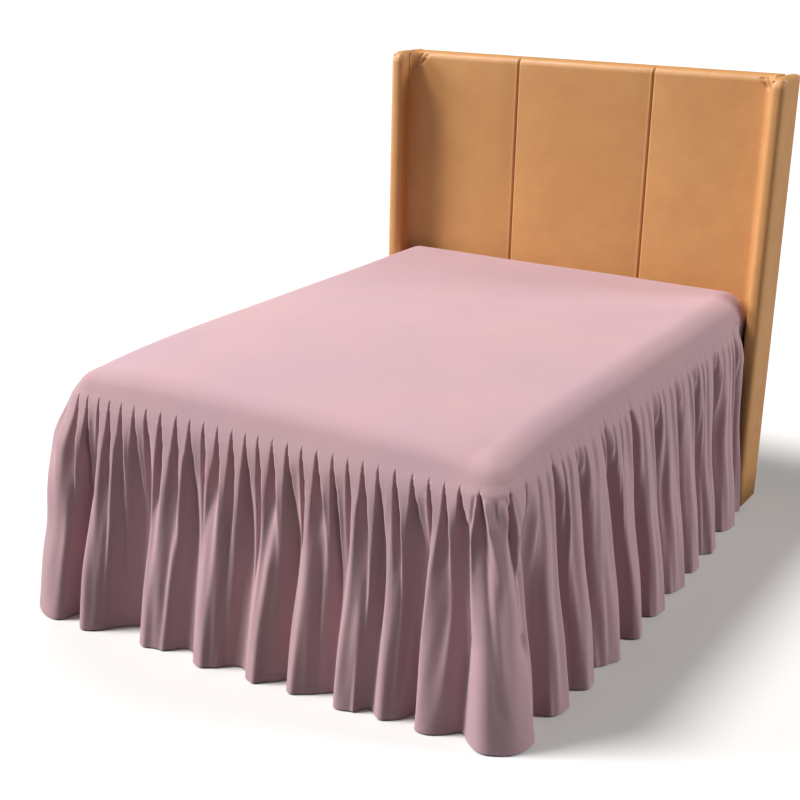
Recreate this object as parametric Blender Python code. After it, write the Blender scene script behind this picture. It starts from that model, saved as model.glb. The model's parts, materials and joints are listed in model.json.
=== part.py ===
"""Gathered bed skirt on a plain double bed with a winged headboard.

Metres, +Z up.  The origin is on the floor under the middle of the mattress.  The foot of the bed
points along -Y and the headboard stands at +Y.
"""

import math
from bisect import bisect_right
from collections import namedtuple

import bmesh
import bpy

# Bed
MATTRESS_WIDTH = 1.37
MATTRESS_LENGTH = 1.90
MATTRESS_DEPTH = 0.28
BED_TOP = 0.757
MATTRESS_ROUNDING = 0.088
CORNER_FULLNESS = 3.5
CROWN = 0.008
TOP_RISE = 0.013
FOOT_CORNER_SAG = 0.020
BASE_INSET = 0.03
LEG_HEIGHT = 0.06
LEG_SIDE = 0.08
LEG_INSET = 0.10

# Cloth
CLOTH = 0.0025
TOP_GAP = 0.0003
SIDE_GAP = 0.002
FIT_GAP = 0.0003
SEAM_HEIGHT = 0.651
HEM_HEIGHT = 0.004
RUFFLE_HEAD_END = 0.84

# Headboard
HEADBOARD_HEIGHT = 1.50
HEADBOARD_THICKNESS = 0.085
HEADBOARD_SEAM = 0.26
HEADBOARD_CLEARANCE = 0.008
HEADBOARD_ROUNDING = 0.026
SEAM_ROUNDING = 0.004
WING_INNER = 0.697
WING_THICKNESS = 0.052
WING_REACH = 0.098
WING_CORNER = 0.032
WING_ROUNDING = 0.019

# The ruffle from its seam down to the floor.  drop is the share of its height, flare how far the
# ridges stand out, gather the depth of the small gathers, fold the share of the hem folds' depth,
# and round the shape of a gather: above 1 a broad ridge and a narrow valley, below 1 the reverse.
Level = namedtuple("Level", "drop flare gather fold round")
LEVELS = (
    Level(0.000, 0.002, 0.002, 0.00, 1.8),
    Level(0.027, 0.017, 0.014, 0.01, 1.8),
    Level(0.085, 0.033, 0.025, 0.07, 1.3),
    Level(0.210, 0.054, 0.023, 0.27, 0.9),
    Level(0.500, 0.087, 0.014, 0.72, 0.8),
    Level(1.000, 0.111, 0.006, 1.00, 1.0),
)

# The hem folds in the order that they follow round the bed, head to foot on the left, then left to
# right along the foot, then foot to head on the right.  step is the way along the seam from the
# ridge before, depth the way from ridge to valley, and lean how far the ridge tips along the seam.
Fold = namedtuple("Fold", "step depth lean")
LEFT_FOLDS = (
    Fold(0.075, 0.088, 0.004),
    Fold(0.182, 0.104, -0.008),
    Fold(0.171, 0.096, 0.006),
    Fold(0.188, 0.108, 0.010),
    Fold(0.163, 0.092, -0.006),
    Fold(0.179, 0.104, 0.003),
    Fold(0.190, 0.110, -0.009),
    Fold(0.158, 0.094, 0.007),
    Fold(0.176, 0.100, 0.010),
    Fold(0.193, 0.098, -0.004),
)
FOOT_FOLDS = (
    Fold(0.100, 0.098, 0.000),
    Fold(0.140, 0.100, 0.007),
    Fold(0.232, 0.112, -0.009),
    Fold(0.176, 0.106, 0.006),
    Fold(0.162, 0.104, -0.005),
    Fold(0.133, 0.092, 0.007),
    Fold(0.149, 0.098, -0.004),
    Fold(0.127, 0.088, 0.005),
    Fold(0.156, 0.090, -0.006),
    Fold(0.105, 0.100, 0.004),
)
RIGHT_FOLDS = (
    Fold(0.175, 0.100, -0.004),
    Fold(0.175, 0.102, 0.007),
    Fold(0.175, 0.106, -0.006),
    Fold(0.180, 0.104, 0.009),
    Fold(0.175, 0.108, -0.007),
    Fold(0.179, 0.104, 0.005),
    Fold(0.161, 0.098, -0.008),
    Fold(0.170, 0.100, 0.006),
    Fold(0.200, 0.104, -0.005),
    Fold(0.179, 0.088, 0.003),
)
FOLDS = LEFT_FOLDS + FOOT_FOLDS + RIGHT_FOLDS

# Places where the whole ruffle stands further out, or less, towards its hem: at is the way along
# the seam to the middle of each, width the way over which it fades on both sides.
Swell = namedtuple("Swell", "at width out")
SWELLS = (
    Swell(0.000, 0.30, -0.022),
    Swell(1.850, 0.25, 0.062),
    Swell(2.250, 0.40, 0.022),
    Swell(2.950, 0.15, -0.018),
    Swell(3.155, 0.14, 0.050),
    Swell(3.750, 0.80, 0.022),
    Swell(4.912, 0.30, -0.022),
)

# Gathers in each of the ruffle's strips
LEFT_GATHERS = 36
FOOT_GATHERS = 32
RIGHT_GATHERS = 35
GATHERS = LEFT_GATHERS + FOOT_GATHERS + RIGHT_GATHERS
COLUMNS_PER_GATHER = 4

Paint = namedtuple("Paint", "red green blue roughness")
PAINTS = {
    "cloth": Paint(0.61, 0.38, 0.42, 0.85),
    "leather": Paint(0.50, 0.24, 0.08, 0.45),
    "ticking": Paint(0.72, 0.70, 0.66, 0.90),
    "base_cloth": Paint(0.30, 0.28, 0.26, 0.90),
    "leg_plastic": Paint(0.03, 0.03, 0.03, 0.50),
}

MATTRESS_BOTTOM = BED_TOP - MATTRESS_DEPTH
CORE_X = MATTRESS_WIDTH / 2 - MATTRESS_ROUNDING
CORE_Y = MATTRESS_LENGTH / 2 - MATTRESS_ROUNDING
PANEL_FRONT = MATTRESS_LENGTH / 2 + HEADBOARD_CLEARANCE
PANEL_BACK = PANEL_FRONT + HEADBOARD_THICKNESS
RUFFLE_TOP = SEAM_HEIGHT - FIT_GAP
RUFFLE_DROP = RUFFLE_TOP - HEM_HEIGHT


def clear_scene():
    """Remove every object that the file opened with."""
    for item in list(bpy.data.objects):
        bpy.data.objects.remove(item, do_unlink=True)


def make_materials():
    """One plain material for each paint in the table."""
    made = {}
    for name, paint in PAINTS.items():
        material = bpy.data.materials.new(name)
        material.use_nodes = True
        shader = material.node_tree.nodes["Principled BSDF"]
        shader.inputs["Base Color"].default_value = (paint.red, paint.green, paint.blue, 1.0)
        shader.inputs["Roughness"].default_value = paint.roughness
        shader.inputs["Metallic"].default_value = 0.0
        made[name] = material
    return made


def add_object(name, bm, material, collection):
    """Turn a finished bmesh into a smooth-shaded object."""
    bmesh.ops.recalc_face_normals(bm, faces=bm.faces)
    mesh = bpy.data.meshes.new(name)
    bm.to_mesh(mesh)
    bm.free()
    mesh.materials.append(material)
    mesh.shade_smooth()
    mesh.set_sharp_from_angle(angle=math.radians(40))
    item = bpy.data.objects.new(name, mesh)
    collection.objects.link(item)
    return item


def two_layer_grid(columns, rows, place):
    """A closed solid from a grid: place(column, row, layer) puts its inner (0) and outer (1) face."""
    bm = bmesh.new()
    column_layer = bm.verts.layers.int.new("column")
    row_layer = bm.verts.layers.int.new("row")
    bmesh.ops.create_grid(bm, x_segments=columns, y_segments=rows, size=1.0)
    inner = list(bm.verts)
    for vert in inner:
        vert[column_layer] = round((vert.co.x + 1) / 2 * columns)
        vert[row_layer] = round((vert.co.y + 1) / 2 * rows)
    copy = bmesh.ops.extrude_face_region(bm, geom=list(bm.faces), use_keep_orig=True)
    outer = [part for part in copy["geom"] if isinstance(part, bmesh.types.BMVert)]
    for layer, verts in enumerate((inner, outer)):
        for vert in verts:
            vert.co = place(vert[column_layer], vert[row_layer], layer)
    return bm


def make_box(low, high):
    """A bmesh box between two corners."""
    bm = bmesh.new()
    bmesh.ops.create_cube(bm, size=1.0)
    for vert in bm.verts:
        vert.co = [(a + b) / 2 + c * (b - a) for a, b, c in zip(low, high, vert.co)]
    return bm


def round_edges(bm, edges, radius, segments):
    """Round the given edges of a bmesh."""
    bmesh.ops.bevel(bm, geom=edges, offset=radius, segments=segments, profile=0.5, affect="EDGES",
                    clamp_overlap=True)


def middle_of(edge):
    """The middle of an edge."""
    return (edge.verts[0].co + edge.verts[1].co) / 2


# Deck and mattress: one rounding rule for both, so the cloth follows what it lies on

def plump(x, y):
    """Length of a plan direction by the rule that makes the corners fuller than a quarter circle."""
    return (abs(x) ** CORNER_FULLNESS + abs(y) ** CORNER_FULLNESS) ** (1 / CORNER_FULLNESS)


def uneven_top(across, along):
    """How far the top stands over or under its plain height: crowned, higher towards the head end
    and lower at the two foot corners.
    """
    crown = CROWN * (1 - across ** 2) ** 2 * (1 - along ** 2) ** 2
    return crown + TOP_RISE * along - FOOT_CORNER_SAG * (across * min(along, 0.0)) ** 6


def wrap(along_x, along_y, side_gap, top_gap):
    """Where a point of a flat panel lies when the panel is laid over the mattress."""
    over_x = math.copysign(max(abs(along_x) - CORE_X, 0.0), along_x)
    over_y = math.copysign(max(abs(along_y) - CORE_Y, 0.0), along_y)
    flat_x = along_x - over_x
    flat_y = along_y - over_y
    run = max(abs(over_x), abs(over_y))
    reach = plump(over_x, over_y) or 1.0
    angle = min(run / MATTRESS_ROUNDING, math.pi / 2)
    fall = run - angle * MATTRESS_ROUNDING
    out = (MATTRESS_ROUNDING + side_gap) * math.sin(angle)
    up = (MATTRESS_ROUNDING + top_gap) * math.cos(angle)
    height = BED_TOP - MATTRESS_ROUNDING + up - fall
    height += uneven_top(flat_x / CORE_X, flat_y / CORE_Y) * (height - SEAM_HEIGHT) / (BED_TOP - SEAM_HEIGHT)
    return (flat_x + out * over_x / reach, flat_y + out * over_y / reach, height)


def grid_lines(core, core_parts, bend_parts, fall):
    """Places of the grid lines across a panel: its flat middle, each rounded edge and the fall."""
    bend = math.pi / 2 * MATTRESS_ROUNDING
    beyond = [bend * k / bend_parts for k in range(1, bend_parts + 1)]
    if fall:
        beyond.append(bend + fall)
    middle = [core * (2 * k / core_parts - 1) for k in range(core_parts + 1)]
    return [-core - run for run in reversed(beyond)] + middle + [core + run for run in beyond]


def build_deck():
    """The smooth top panel, from its seam on one side over the mattress to the other."""
    fall = BED_TOP - MATTRESS_ROUNDING - SEAM_HEIGHT
    lines_x = grid_lines(CORE_X, 4, 6, fall)
    lines_y = grid_lines(CORE_Y, 5, 6, fall)

    def place(column, row, layer):
        return wrap(lines_x[column], lines_y[row], SIDE_GAP + layer * CLOTH, TOP_GAP + layer * CLOTH)

    return two_layer_grid(len(lines_x) - 1, len(lines_y) - 1, place)


def build_mattress():
    """The mattress, with the soft top edges that the deck follows and straight sides."""
    lines_x = grid_lines(CORE_X, 4, 3, 0.0)
    lines_y = grid_lines(CORE_Y, 5, 3, 0.0)

    def place(column, row, layer):
        x, y, height = wrap(lines_x[column], lines_y[row], 0.0, 0.0)
        return (x, y, height if layer else MATTRESS_BOTTOM)

    return two_layer_grid(len(lines_x) - 1, len(lines_y) - 1, place)


# Ruffle: the line of its seam round the bed, and the folds that hang from it

SEAM_CORNER = MATTRESS_ROUNDING + SIDE_GAP + CLOTH / 2
CORNER_STEPS = 16


def seam_outline():
    """Plan points of the seam, from its left head end round the foot to its right head end."""
    points = [(-CORE_X - SEAM_CORNER, RUFFLE_HEAD_END)]
    for middle_x, start in ((-CORE_X, math.pi), (CORE_X, 1.5 * math.pi)):
        for step in range(CORNER_STEPS + 1):
            angle = start + math.pi / 2 * step / CORNER_STEPS
            way = (math.cos(angle), math.sin(angle))
            reach = SEAM_CORNER / plump(*way)
            points.append((middle_x + reach * way[0], -CORE_Y + reach * way[1]))
    points.append((CORE_X + SEAM_CORNER, RUFFLE_HEAD_END))
    return points


def outward_of(start, end):
    """Outward direction of a stretch of the seam."""
    length = math.dist(start, end)
    return ((end[1] - start[1]) / length, (start[0] - end[0]) / length)


SEAM = seam_outline()
STRETCHES = list(zip(SEAM, SEAM[1:]))
SEAM_RUNS = [sum(math.dist(*stretch) for stretch in STRETCHES[:k]) for k in range(len(SEAM))]
SEAM_RUN = SEAM_RUNS[-1]


def seam_frame(run):
    """Point and outward direction of the seam, run metres from its left head end."""
    here = min(max(bisect_right(SEAM_RUNS, run) - 1, 0), len(STRETCHES) - 1)
    start, end = STRETCHES[here]
    share = (run - SEAM_RUNS[here]) / (SEAM_RUNS[here + 1] - SEAM_RUNS[here])
    point = (start[0] + share * (end[0] - start[0]), start[1] + share * (end[1] - start[1]))
    share = min(max(share, 0.0), 1.0)
    own = outward_of(start, end)
    near = outward_of(*STRETCHES[max(here - 1, 0)])
    far = outward_of(*STRETCHES[min(here + 1, len(STRETCHES) - 1)])
    blended = [a * (1 - share) + o + b * share for a, o, b in zip(near, own, far)]
    size = math.hypot(*blended)
    return point, (blended[0] / size, blended[1] / size)


def gather_run(gather):
    """Way along the seam to a gather, whose steps are a little uneven."""
    uneven = 0.17 * math.sin(0.9 * gather + 1.0) + 0.09 * math.sin(2.3 * gather)
    return SEAM_RUN / GATHERS * (gather + uneven)


def fold_at(run):
    """Fold count, depth and lean at a way along the seam, blended between two ridges."""
    ridges = [sum(fold.step for fold in FOLDS[:k + 1]) for k in range(len(FOLDS))]
    left = min(max(bisect_right(ridges, run) - 1, 0), len(FOLDS) - 2)
    share = (run - ridges[left]) / (ridges[left + 1] - ridges[left])
    blend = min(max(share, 0.0), 1.0)
    depth = FOLDS[left].depth * (1 - blend) + FOLDS[left + 1].depth * blend
    lean = FOLDS[left].lean * (1 - blend) + FOLDS[left + 1].lean * blend
    return left + share, depth, lean


def swell_at(run):
    """How much further out the whole ruffle stands at its hem."""
    out = 0.0
    for swell in SWELLS:
        away = min(abs(run - swell.at) / swell.width, 1.0)
        out += swell.out * (1 + math.cos(math.pi * away)) / 2
    return out


def ruffle_plan(gather, level):
    """Plan position of the ruffle's middle surface at a gather and a level."""
    run = gather_run(gather)
    (x, y), out = seam_frame(run)
    fold, depth, lean = fold_at(run)
    gather_valley = ((1 + math.cos(2 * math.pi * gather)) / 2) ** level.round
    gather_size = 1 + 0.22 * math.sin(1.7 * gather + 0.5)
    fold_turn = 2 * math.pi * fold
    fold_valley = (1 - math.cos(fold_turn)) / 2
    outward = level.flare + level.fold * swell_at(run) - level.gather * gather_size * gather_valley
    outward -= level.fold * depth * fold_valley
    outward = max(outward, 0.0)
    bulge = 0.08 * depth * math.sin(2 * fold_turn)
    sideways = level.fold * (bulge + lean * math.cos(fold_turn))
    return (x + outward * out[0] - sideways * out[1], y + outward * out[1] + sideways * out[0])


def build_strip(first_gather, gathers):
    """One gathered strip of the ruffle, hung from the seam down to its hem."""
    columns = gathers * COLUMNS_PER_GATHER

    def place(column, row, layer):
        level = LEVELS[-1 - row]
        gather = first_gather + column / COLUMNS_PER_GATHER
        x, y = ruffle_plan(gather, level)
        before = ruffle_plan(gather - 1 / COLUMNS_PER_GATHER, level)
        after = ruffle_plan(gather + 1 / COLUMNS_PER_GATHER, level)
        length = math.dist(before, after)
        ahead_x = (after[0] - before[0]) / length
        ahead_y = (after[1] - before[1]) / length
        inset = FIT_GAP / 2 if column == 0 else -FIT_GAP / 2 if column == columns else 0.0
        across = (layer - 0.5) * CLOTH
        height = RUFFLE_TOP - level.drop * RUFFLE_DROP
        x += inset * ahead_x + across * ahead_y
        y += inset * ahead_y - across * ahead_x
        return (x, y, height)

    return two_layer_grid(columns, len(LEVELS) - 1, place)


# Bed

def build_base():
    """The plain base under the mattress, standing against the headboard."""
    half_x = MATTRESS_WIDTH / 2 - BASE_INSET
    foot = -MATTRESS_LENGTH / 2 + BASE_INSET
    bm = make_box((-half_x, foot, LEG_HEIGHT), (half_x, PANEL_FRONT - FIT_GAP, MATTRESS_BOTTOM - FIT_GAP))
    return bm


def build_leg(x, y):
    """A block leg from the floor to the base."""
    half = LEG_SIDE / 2
    return make_box((x - half, y - half, 0.0), (x + half, y + half, LEG_HEIGHT - FIT_GAP))


def leg_places():
    """Name and place of each leg: one near each corner and one under the middle."""
    half_x = MATTRESS_WIDTH / 2 - BASE_INSET - LEG_INSET
    half_y = MATTRESS_LENGTH / 2 - BASE_INSET - LEG_INSET
    places = {"leg_middle": (0.0, 0.0)}
    for end, y in (("foot", -half_y), ("head", half_y)):
        for side, x in (("left", -half_x), ("right", half_x)):
            places[f"leg_{end}_{side}"] = (x, y)
    return places


def build_section(left, right):
    """One leather section of the headboard, round along its top and softly at its side edges."""
    bm = make_box((left, PANEL_FRONT, 0.0), (right, PANEL_BACK, HEADBOARD_HEIGHT))
    top = [e for e in bm.edges if middle_of(e).z > HEADBOARD_HEIGHT - FIT_GAP
           and abs(e.verts[0].co.y - e.verts[1].co.y) < FIT_GAP]
    round_edges(bm, top, HEADBOARD_ROUNDING, 4)
    sides = [e for e in bm.edges if any(abs(f.normal.x) > 0.99 for f in e.link_faces)
             and middle_of(e).z > FIT_GAP]
    round_edges(bm, sides, SEAM_ROUNDING, 1)
    return bm


def build_wing(side):
    """A side wing of the headboard, with a rounded top corner and soft front edges."""
    inner = side * (WING_INNER + FIT_GAP)
    outer = side * (WING_INNER + WING_THICKNESS)
    front = PANEL_FRONT - WING_REACH
    bm = make_box((min(inner, outer), front, 0.0), (max(inner, outer), PANEL_BACK, HEADBOARD_HEIGHT))
    corner = [e for e in bm.edges if middle_of(e).z > HEADBOARD_HEIGHT - FIT_GAP
              and middle_of(e).y < front + FIT_GAP]
    round_edges(bm, corner, WING_CORNER, 5)
    rim = [e for e in bm.edges if any(abs(f.normal.x) > 0.99 for f in e.link_faces)
           and middle_of(e).z > FIT_GAP and middle_of(e).y < PANEL_BACK - FIT_GAP]
    round_edges(bm, rim, WING_ROUNDING, 3)
    return bm


def main():
    clear_scene()
    materials = make_materials()
    parts = bpy.data.collections.new("bed_skirt")
    bpy.context.scene.collection.children.link(parts)

    def keep(name, bm, paint):
        add_object(name, bm, materials[paint], parts)

    keep("deck", build_deck(), "cloth")
    keep("ruffle_left", build_strip(0, LEFT_GATHERS), "cloth")
    keep("ruffle_foot", build_strip(LEFT_GATHERS, FOOT_GATHERS), "cloth")
    keep("ruffle_right", build_strip(LEFT_GATHERS + FOOT_GATHERS, RIGHT_GATHERS), "cloth")
    keep("mattress", build_mattress(), "ticking")
    keep("bed_base", build_base(), "base_cloth")
    for name, (x, y) in leg_places().items():
        keep(name, build_leg(x, y), "leg_plastic")
    end = WING_INNER
    seam = HEADBOARD_SEAM
    keep("headboard_left", build_section(-end, -seam - FIT_GAP / 2), "leather")
    keep("headboard_middle", build_section(-seam + FIT_GAP / 2, seam - FIT_GAP / 2), "leather")
    keep("headboard_right", build_section(seam + FIT_GAP / 2, end), "leather")
    keep("wing_left", build_wing(-1), "leather")
    keep("wing_right", build_wing(1), "leather")


main()
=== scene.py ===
# %% [markdown]
# # A gathered bed skirt on its bed
#
# A bed skirt is two things sewn together: a smooth deck that lies over the mattress, and a long
# ruffle that is gathered into the deck's edge and falls to the floor.  The solids of the frame
# already hold the sizes and the main folds.  This lesson lays finer cloth on the same folds, wraps
# the headboard in leather, and lights both like a plain studio picture.

# %% Load the frame
import json
import math
from collections import namedtuple

import bmesh
import bpy
import numpy as np
from mathutils import Matrix, Vector

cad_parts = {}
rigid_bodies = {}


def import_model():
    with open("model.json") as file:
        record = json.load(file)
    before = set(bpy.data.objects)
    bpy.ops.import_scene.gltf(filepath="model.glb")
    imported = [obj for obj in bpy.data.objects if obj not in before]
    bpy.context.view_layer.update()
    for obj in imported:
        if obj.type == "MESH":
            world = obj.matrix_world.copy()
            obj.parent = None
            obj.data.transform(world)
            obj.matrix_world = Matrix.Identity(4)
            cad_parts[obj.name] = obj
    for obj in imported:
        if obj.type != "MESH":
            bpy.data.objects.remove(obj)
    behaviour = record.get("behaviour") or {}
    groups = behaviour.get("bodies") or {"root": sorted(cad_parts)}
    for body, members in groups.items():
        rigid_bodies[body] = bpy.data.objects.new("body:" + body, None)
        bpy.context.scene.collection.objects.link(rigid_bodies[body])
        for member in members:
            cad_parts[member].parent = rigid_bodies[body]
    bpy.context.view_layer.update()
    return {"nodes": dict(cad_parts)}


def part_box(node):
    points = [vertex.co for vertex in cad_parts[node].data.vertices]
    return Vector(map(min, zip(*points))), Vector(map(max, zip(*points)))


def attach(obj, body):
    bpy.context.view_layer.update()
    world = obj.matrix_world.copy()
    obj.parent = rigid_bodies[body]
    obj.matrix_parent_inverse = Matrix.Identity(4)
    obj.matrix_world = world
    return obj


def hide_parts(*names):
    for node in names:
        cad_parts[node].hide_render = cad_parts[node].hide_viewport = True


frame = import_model()

# %% [markdown]
# Every size that the frame already knows is read from it.  The mattress gives the plan that the
# cloth follows, the deck gives the height of the gathered seam, and the wings give the leather's
# limits.  What the boxes can't say, such as how round an edge is, is a named value.

# %% Sizes from the frame
mattress_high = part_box("mattress")[1]
deck_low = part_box("deck")[0]
ruffle_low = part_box("ruffle_left")[0]
panel_low, panel_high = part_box("headboard_middle")
wing_low, wing_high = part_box("wing_right")

MATTRESS_ROUNDING = 0.088
CORNER_FULLNESS = 3.5
BED_TOP = 0.757
CROWN = 0.016
TOP_RISE = 0.013
FOOT_CORNER_SAG = 0.020
TOP_GAP = 0.0013
SIDE_GAP = 0.003
SEAM_HEIGHT = deck_low[2]
HEM_HEIGHT = ruffle_low[2]
RUFFLE_HEAD_END = 0.84
RUFFLE_DROP = SEAM_HEIGHT - HEM_HEIGHT
CORE_X = mattress_high[0] - MATTRESS_ROUNDING
CORE_Y = mattress_high[1] - MATTRESS_ROUNDING
print(f"seam at {SEAM_HEIGHT:.3f} m, drop {RUFFLE_DROP:.3f} m")

# %% [markdown]
# ## Helpers for sheets and blocks
#
# Cloth starts as one flat grid, as it does on the cutting table, and a function says where each of
# its points ends up.  NumPy moves all points at once, which keeps a fine grid quick.  The flat
# cloth's own place is kept as a UV map in metres, so that the weave follows the folds.  Solidify
# then gives the sheet its thickness, and the faces of its cut edge are marked sharp.

# %% Lay a grid of cloth
CLOTH_THICKNESS = 0.0018


def in_scene(name, data):
    """A new object in the scene, made from a mesh, a light or a camera."""
    made = bpy.data.objects.new(name, data)
    bpy.context.scene.collection.objects.link(made)
    return made


def mesh_of(bm, name):
    """The mesh of a finished bmesh."""
    mesh = bpy.data.meshes.new(name)
    bm.to_mesh(mesh)
    bm.free()
    return mesh


def points_of(mesh):
    """All vertex positions of a mesh as rows of an array."""
    flat = np.empty(len(mesh.vertices) * 3)
    mesh.vertices.foreach_get("co", flat)
    return flat.reshape(-1, 3)


def thicken(piece):
    """Make a real closed sheet of a grid, and keep the cut edges crisp."""
    solid = piece.modifiers.new("thickness", "SOLIDIFY")
    solid.thickness = CLOTH_THICKNESS
    solid.offset = 0.0
    single = len(piece.data.polygons)
    seen = piece.evaluated_get(bpy.context.evaluated_depsgraph_get())
    mesh = bpy.data.meshes.new_from_object(seen)
    piece.modifiers.clear()
    plain = piece.data
    piece.data = mesh
    bpy.data.meshes.remove(plain)
    mesh.name = piece.name
    edges = np.empty(len(mesh.loops), dtype=int)
    mesh.loops.foreach_get("edge_index", edges)
    rim_start = mesh.polygons[2 * single].loop_start
    uses = np.bincount(edges[rim_start:], minlength=len(mesh.edges))
    mesh.edges.foreach_set("use_edge_sharp", uses == 1)
    mesh.update()


def laid_cloth(name, columns, rows, shape):
    """A sheet of columns by rows faces.  shape(u, v) gives its points and its flat places."""
    bm = bmesh.new()
    bm.loops.layers.uv.new("flat")
    bmesh.ops.create_grid(bm, x_segments=columns, y_segments=rows, size=0.5, calc_uvs=True)
    mesh = mesh_of(bm, name)
    start = points_of(mesh)
    points, flat = shape(start[:, 0] + 0.5, start[:, 1] + 0.5)
    mesh.vertices.foreach_set("co", points.ravel())
    corners = np.empty(len(mesh.loops), dtype=int)
    mesh.loops.foreach_get("vertex_index", corners)
    mesh.uv_layers["flat"].data.foreach_set("uv", flat[corners].ravel())
    mesh.shade_smooth()
    mesh.update()
    piece = in_scene(name, mesh)
    thicken(piece)
    return piece


# %% [markdown]
# Four small curves do most of the shaping: an easy step from 0 to 1, a window that opens and closes,
# a single hump, and a curve through the values of a table.

# %% Smooth curves
def smooth_step(x):
    """0 below 0, 1 above 1, and an easy curve between."""
    x = np.clip(x, 0.0, 1.0)
    return x * x * (3 - 2 * x)


def window(x, start, rise, end, fall):
    """0 up to start, 1 once x is rise past it, and 0 again from fall past end."""
    return smooth_step((x - start) / rise) * (1 - smooth_step((x - end) / fall))


def hump(x):
    """1 at 0, and 0 from a distance of 1 on."""
    return (1 + np.cos(np.pi * np.minimum(np.abs(x), 1.0))) / 2


def eased(x, knots, values):
    """A cubic curve through a table's values that never swings past them."""
    knots = np.asarray(knots, dtype=float)
    values = np.asarray(values, dtype=float)
    step = np.diff(knots)
    slope = np.diff(values) / step
    tangent = np.concatenate(([slope[0]], np.zeros(len(slope) - 1), [slope[-1]]))
    same = slope[:-1] * slope[1:] > 0
    safe = np.where(same, slope[:-1] + slope[1:], 1.0)
    tangent[1:-1] = np.where(same, 2 * slope[:-1] * slope[1:] / safe, 0.0)
    here = np.clip(np.searchsorted(knots, x, side="right") - 1, 0, len(step) - 1)
    s = (x - knots[here]) / step[here]
    rest = 1 - s
    return (values[here] * (1 + 2 * s) * rest ** 2 + values[here + 1] * s ** 2 * (3 - 2 * s)
            + step[here] * s * rest * (tangent[here] * rest - tangent[here + 1] * s))


print("halfway:", [float(f(0.5)) for f in (smooth_step, hump)])

# %% [markdown]
# ## The deck
#
# The deck is a plain panel.  It lies flat over the mattress, rounds over its edges and ends at the
# seam.  It could be a box with bevelled edges, but a bevel has no cloth on it: no place in the
# weave, no pull of the gathers at its edge.  So the flat panel is wrapped over the mattress, point
# by point.
#
# Where the ruffle pulls on it, the panel leaves the mattress before it is upright and runs straight
# down and out to the seam.  So the edge of the bed is a soft slope, not a wall.  At the head there
# is no ruffle, and the panel follows the mattress all the way down.

# %% The edge of the panel
SEAM_CORNER = MATTRESS_ROUNDING + SIDE_GAP
KICK_FADE_FROM = 0.74
KICK_FADE = 0.11
LEAVE_ANGLE = math.radians(66)
LEAVE_DROP = (MATTRESS_ROUNDING + TOP_GAP) * (1 - math.cos(LEAVE_ANGLE)) - TOP_GAP
STRAIGHT = (BED_TOP - LEAVE_DROP - SEAM_HEIGHT) / math.sin(LEAVE_ANGLE)
EDGE_LENGTH = MATTRESS_ROUNDING * LEAVE_ANGLE + STRAIGHT
EDGE_KICK = SEAM_CORNER * math.sin(LEAVE_ANGLE) + STRAIGHT * math.cos(LEAVE_ANGLE) - SEAM_CORNER
print(f"the edge is {EDGE_LENGTH:.3f} m long and kicks out {EDGE_KICK:.4f} m")


def kick_share(y):
    """1 where the ruffle pulls the edge out, and 0 at the head."""
    return 1 - smooth_step((y - KICK_FADE_FROM) / KICK_FADE)


def leave_angle(y):
    """How steep the panel is where it leaves the mattress."""
    return LEAVE_ANGLE + (math.pi / 2 - LEAVE_ANGLE) * (1 - kick_share(y))


def edge_profile(reach, leave):
    """How far out and how high the panel is, reach metres past the mattress's flat top."""
    angle = np.minimum(reach / MATTRESS_ROUNDING, leave)
    straight = reach - angle * MATTRESS_ROUNDING
    out = SEAM_CORNER * np.sin(angle) + straight * np.cos(leave)
    height = BED_TOP - MATTRESS_ROUNDING + (MATTRESS_ROUNDING + TOP_GAP) * np.cos(angle)
    return out, height - straight * np.sin(leave)


# %% [markdown]
# The seam is one line: from the left head end, round the foot, to the right head end.  The way along
# it in metres, called the run, places everything on the ruffle.  At each run the line gives a place
# and two directions, along the bed and outwards.  A power mean of the two overhangs makes the plan's
# corners a little squarer than a quarter circle, as the mattress's are.

# %% The line of the seam
CORNER_STEPS = 64
SIDE_STEPS = 200
FOOT_STEPS = 150
EVEN_STEPS = 2400
DIRECTION_SPREAD = 12


def plump(x, y):
    """Length of a plan direction by the rule that makes the corners fuller."""
    return (np.abs(x) ** CORNER_FULLNESS + np.abs(y) ** CORNER_FULLNESS) ** (1 / CORNER_FULLNESS)


def seam_line():
    """Plan points along the seam, from its left head end round the foot to its right head end."""
    left = [(-CORE_X - SEAM_CORNER, y) for y in np.linspace(RUFFLE_HEAD_END, -CORE_Y, SIDE_STEPS)]
    corners = []
    for middle_x, start in ((-CORE_X, math.pi), (CORE_X, 1.5 * math.pi)):
        angle = start + np.linspace(0, math.pi / 2, CORNER_STEPS + 1)[1:-1]
        reach = SEAM_CORNER / plump(np.cos(angle), np.sin(angle))
        corners.append(list(zip(middle_x + reach * np.cos(angle), -CORE_Y + reach * np.sin(angle))))
    foot = [(x, -CORE_Y - SEAM_CORNER) for x in np.linspace(-CORE_X, CORE_X, FOOT_STEPS)]
    right = [(CORE_X + SEAM_CORNER, y) for y in np.linspace(-CORE_Y, RUFFLE_HEAD_END, SIDE_STEPS)]
    return np.array(left + corners[0] + foot + corners[1] + right)


def widened(values, spread):
    """A running average, which takes the kinks out of the seam's direction."""
    weights = np.hanning(2 * spread + 1)[1:-1]
    padded = np.pad(values, spread - 1, mode="edge")
    return np.convolve(padded, weights / weights.sum(), mode="valid")


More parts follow.
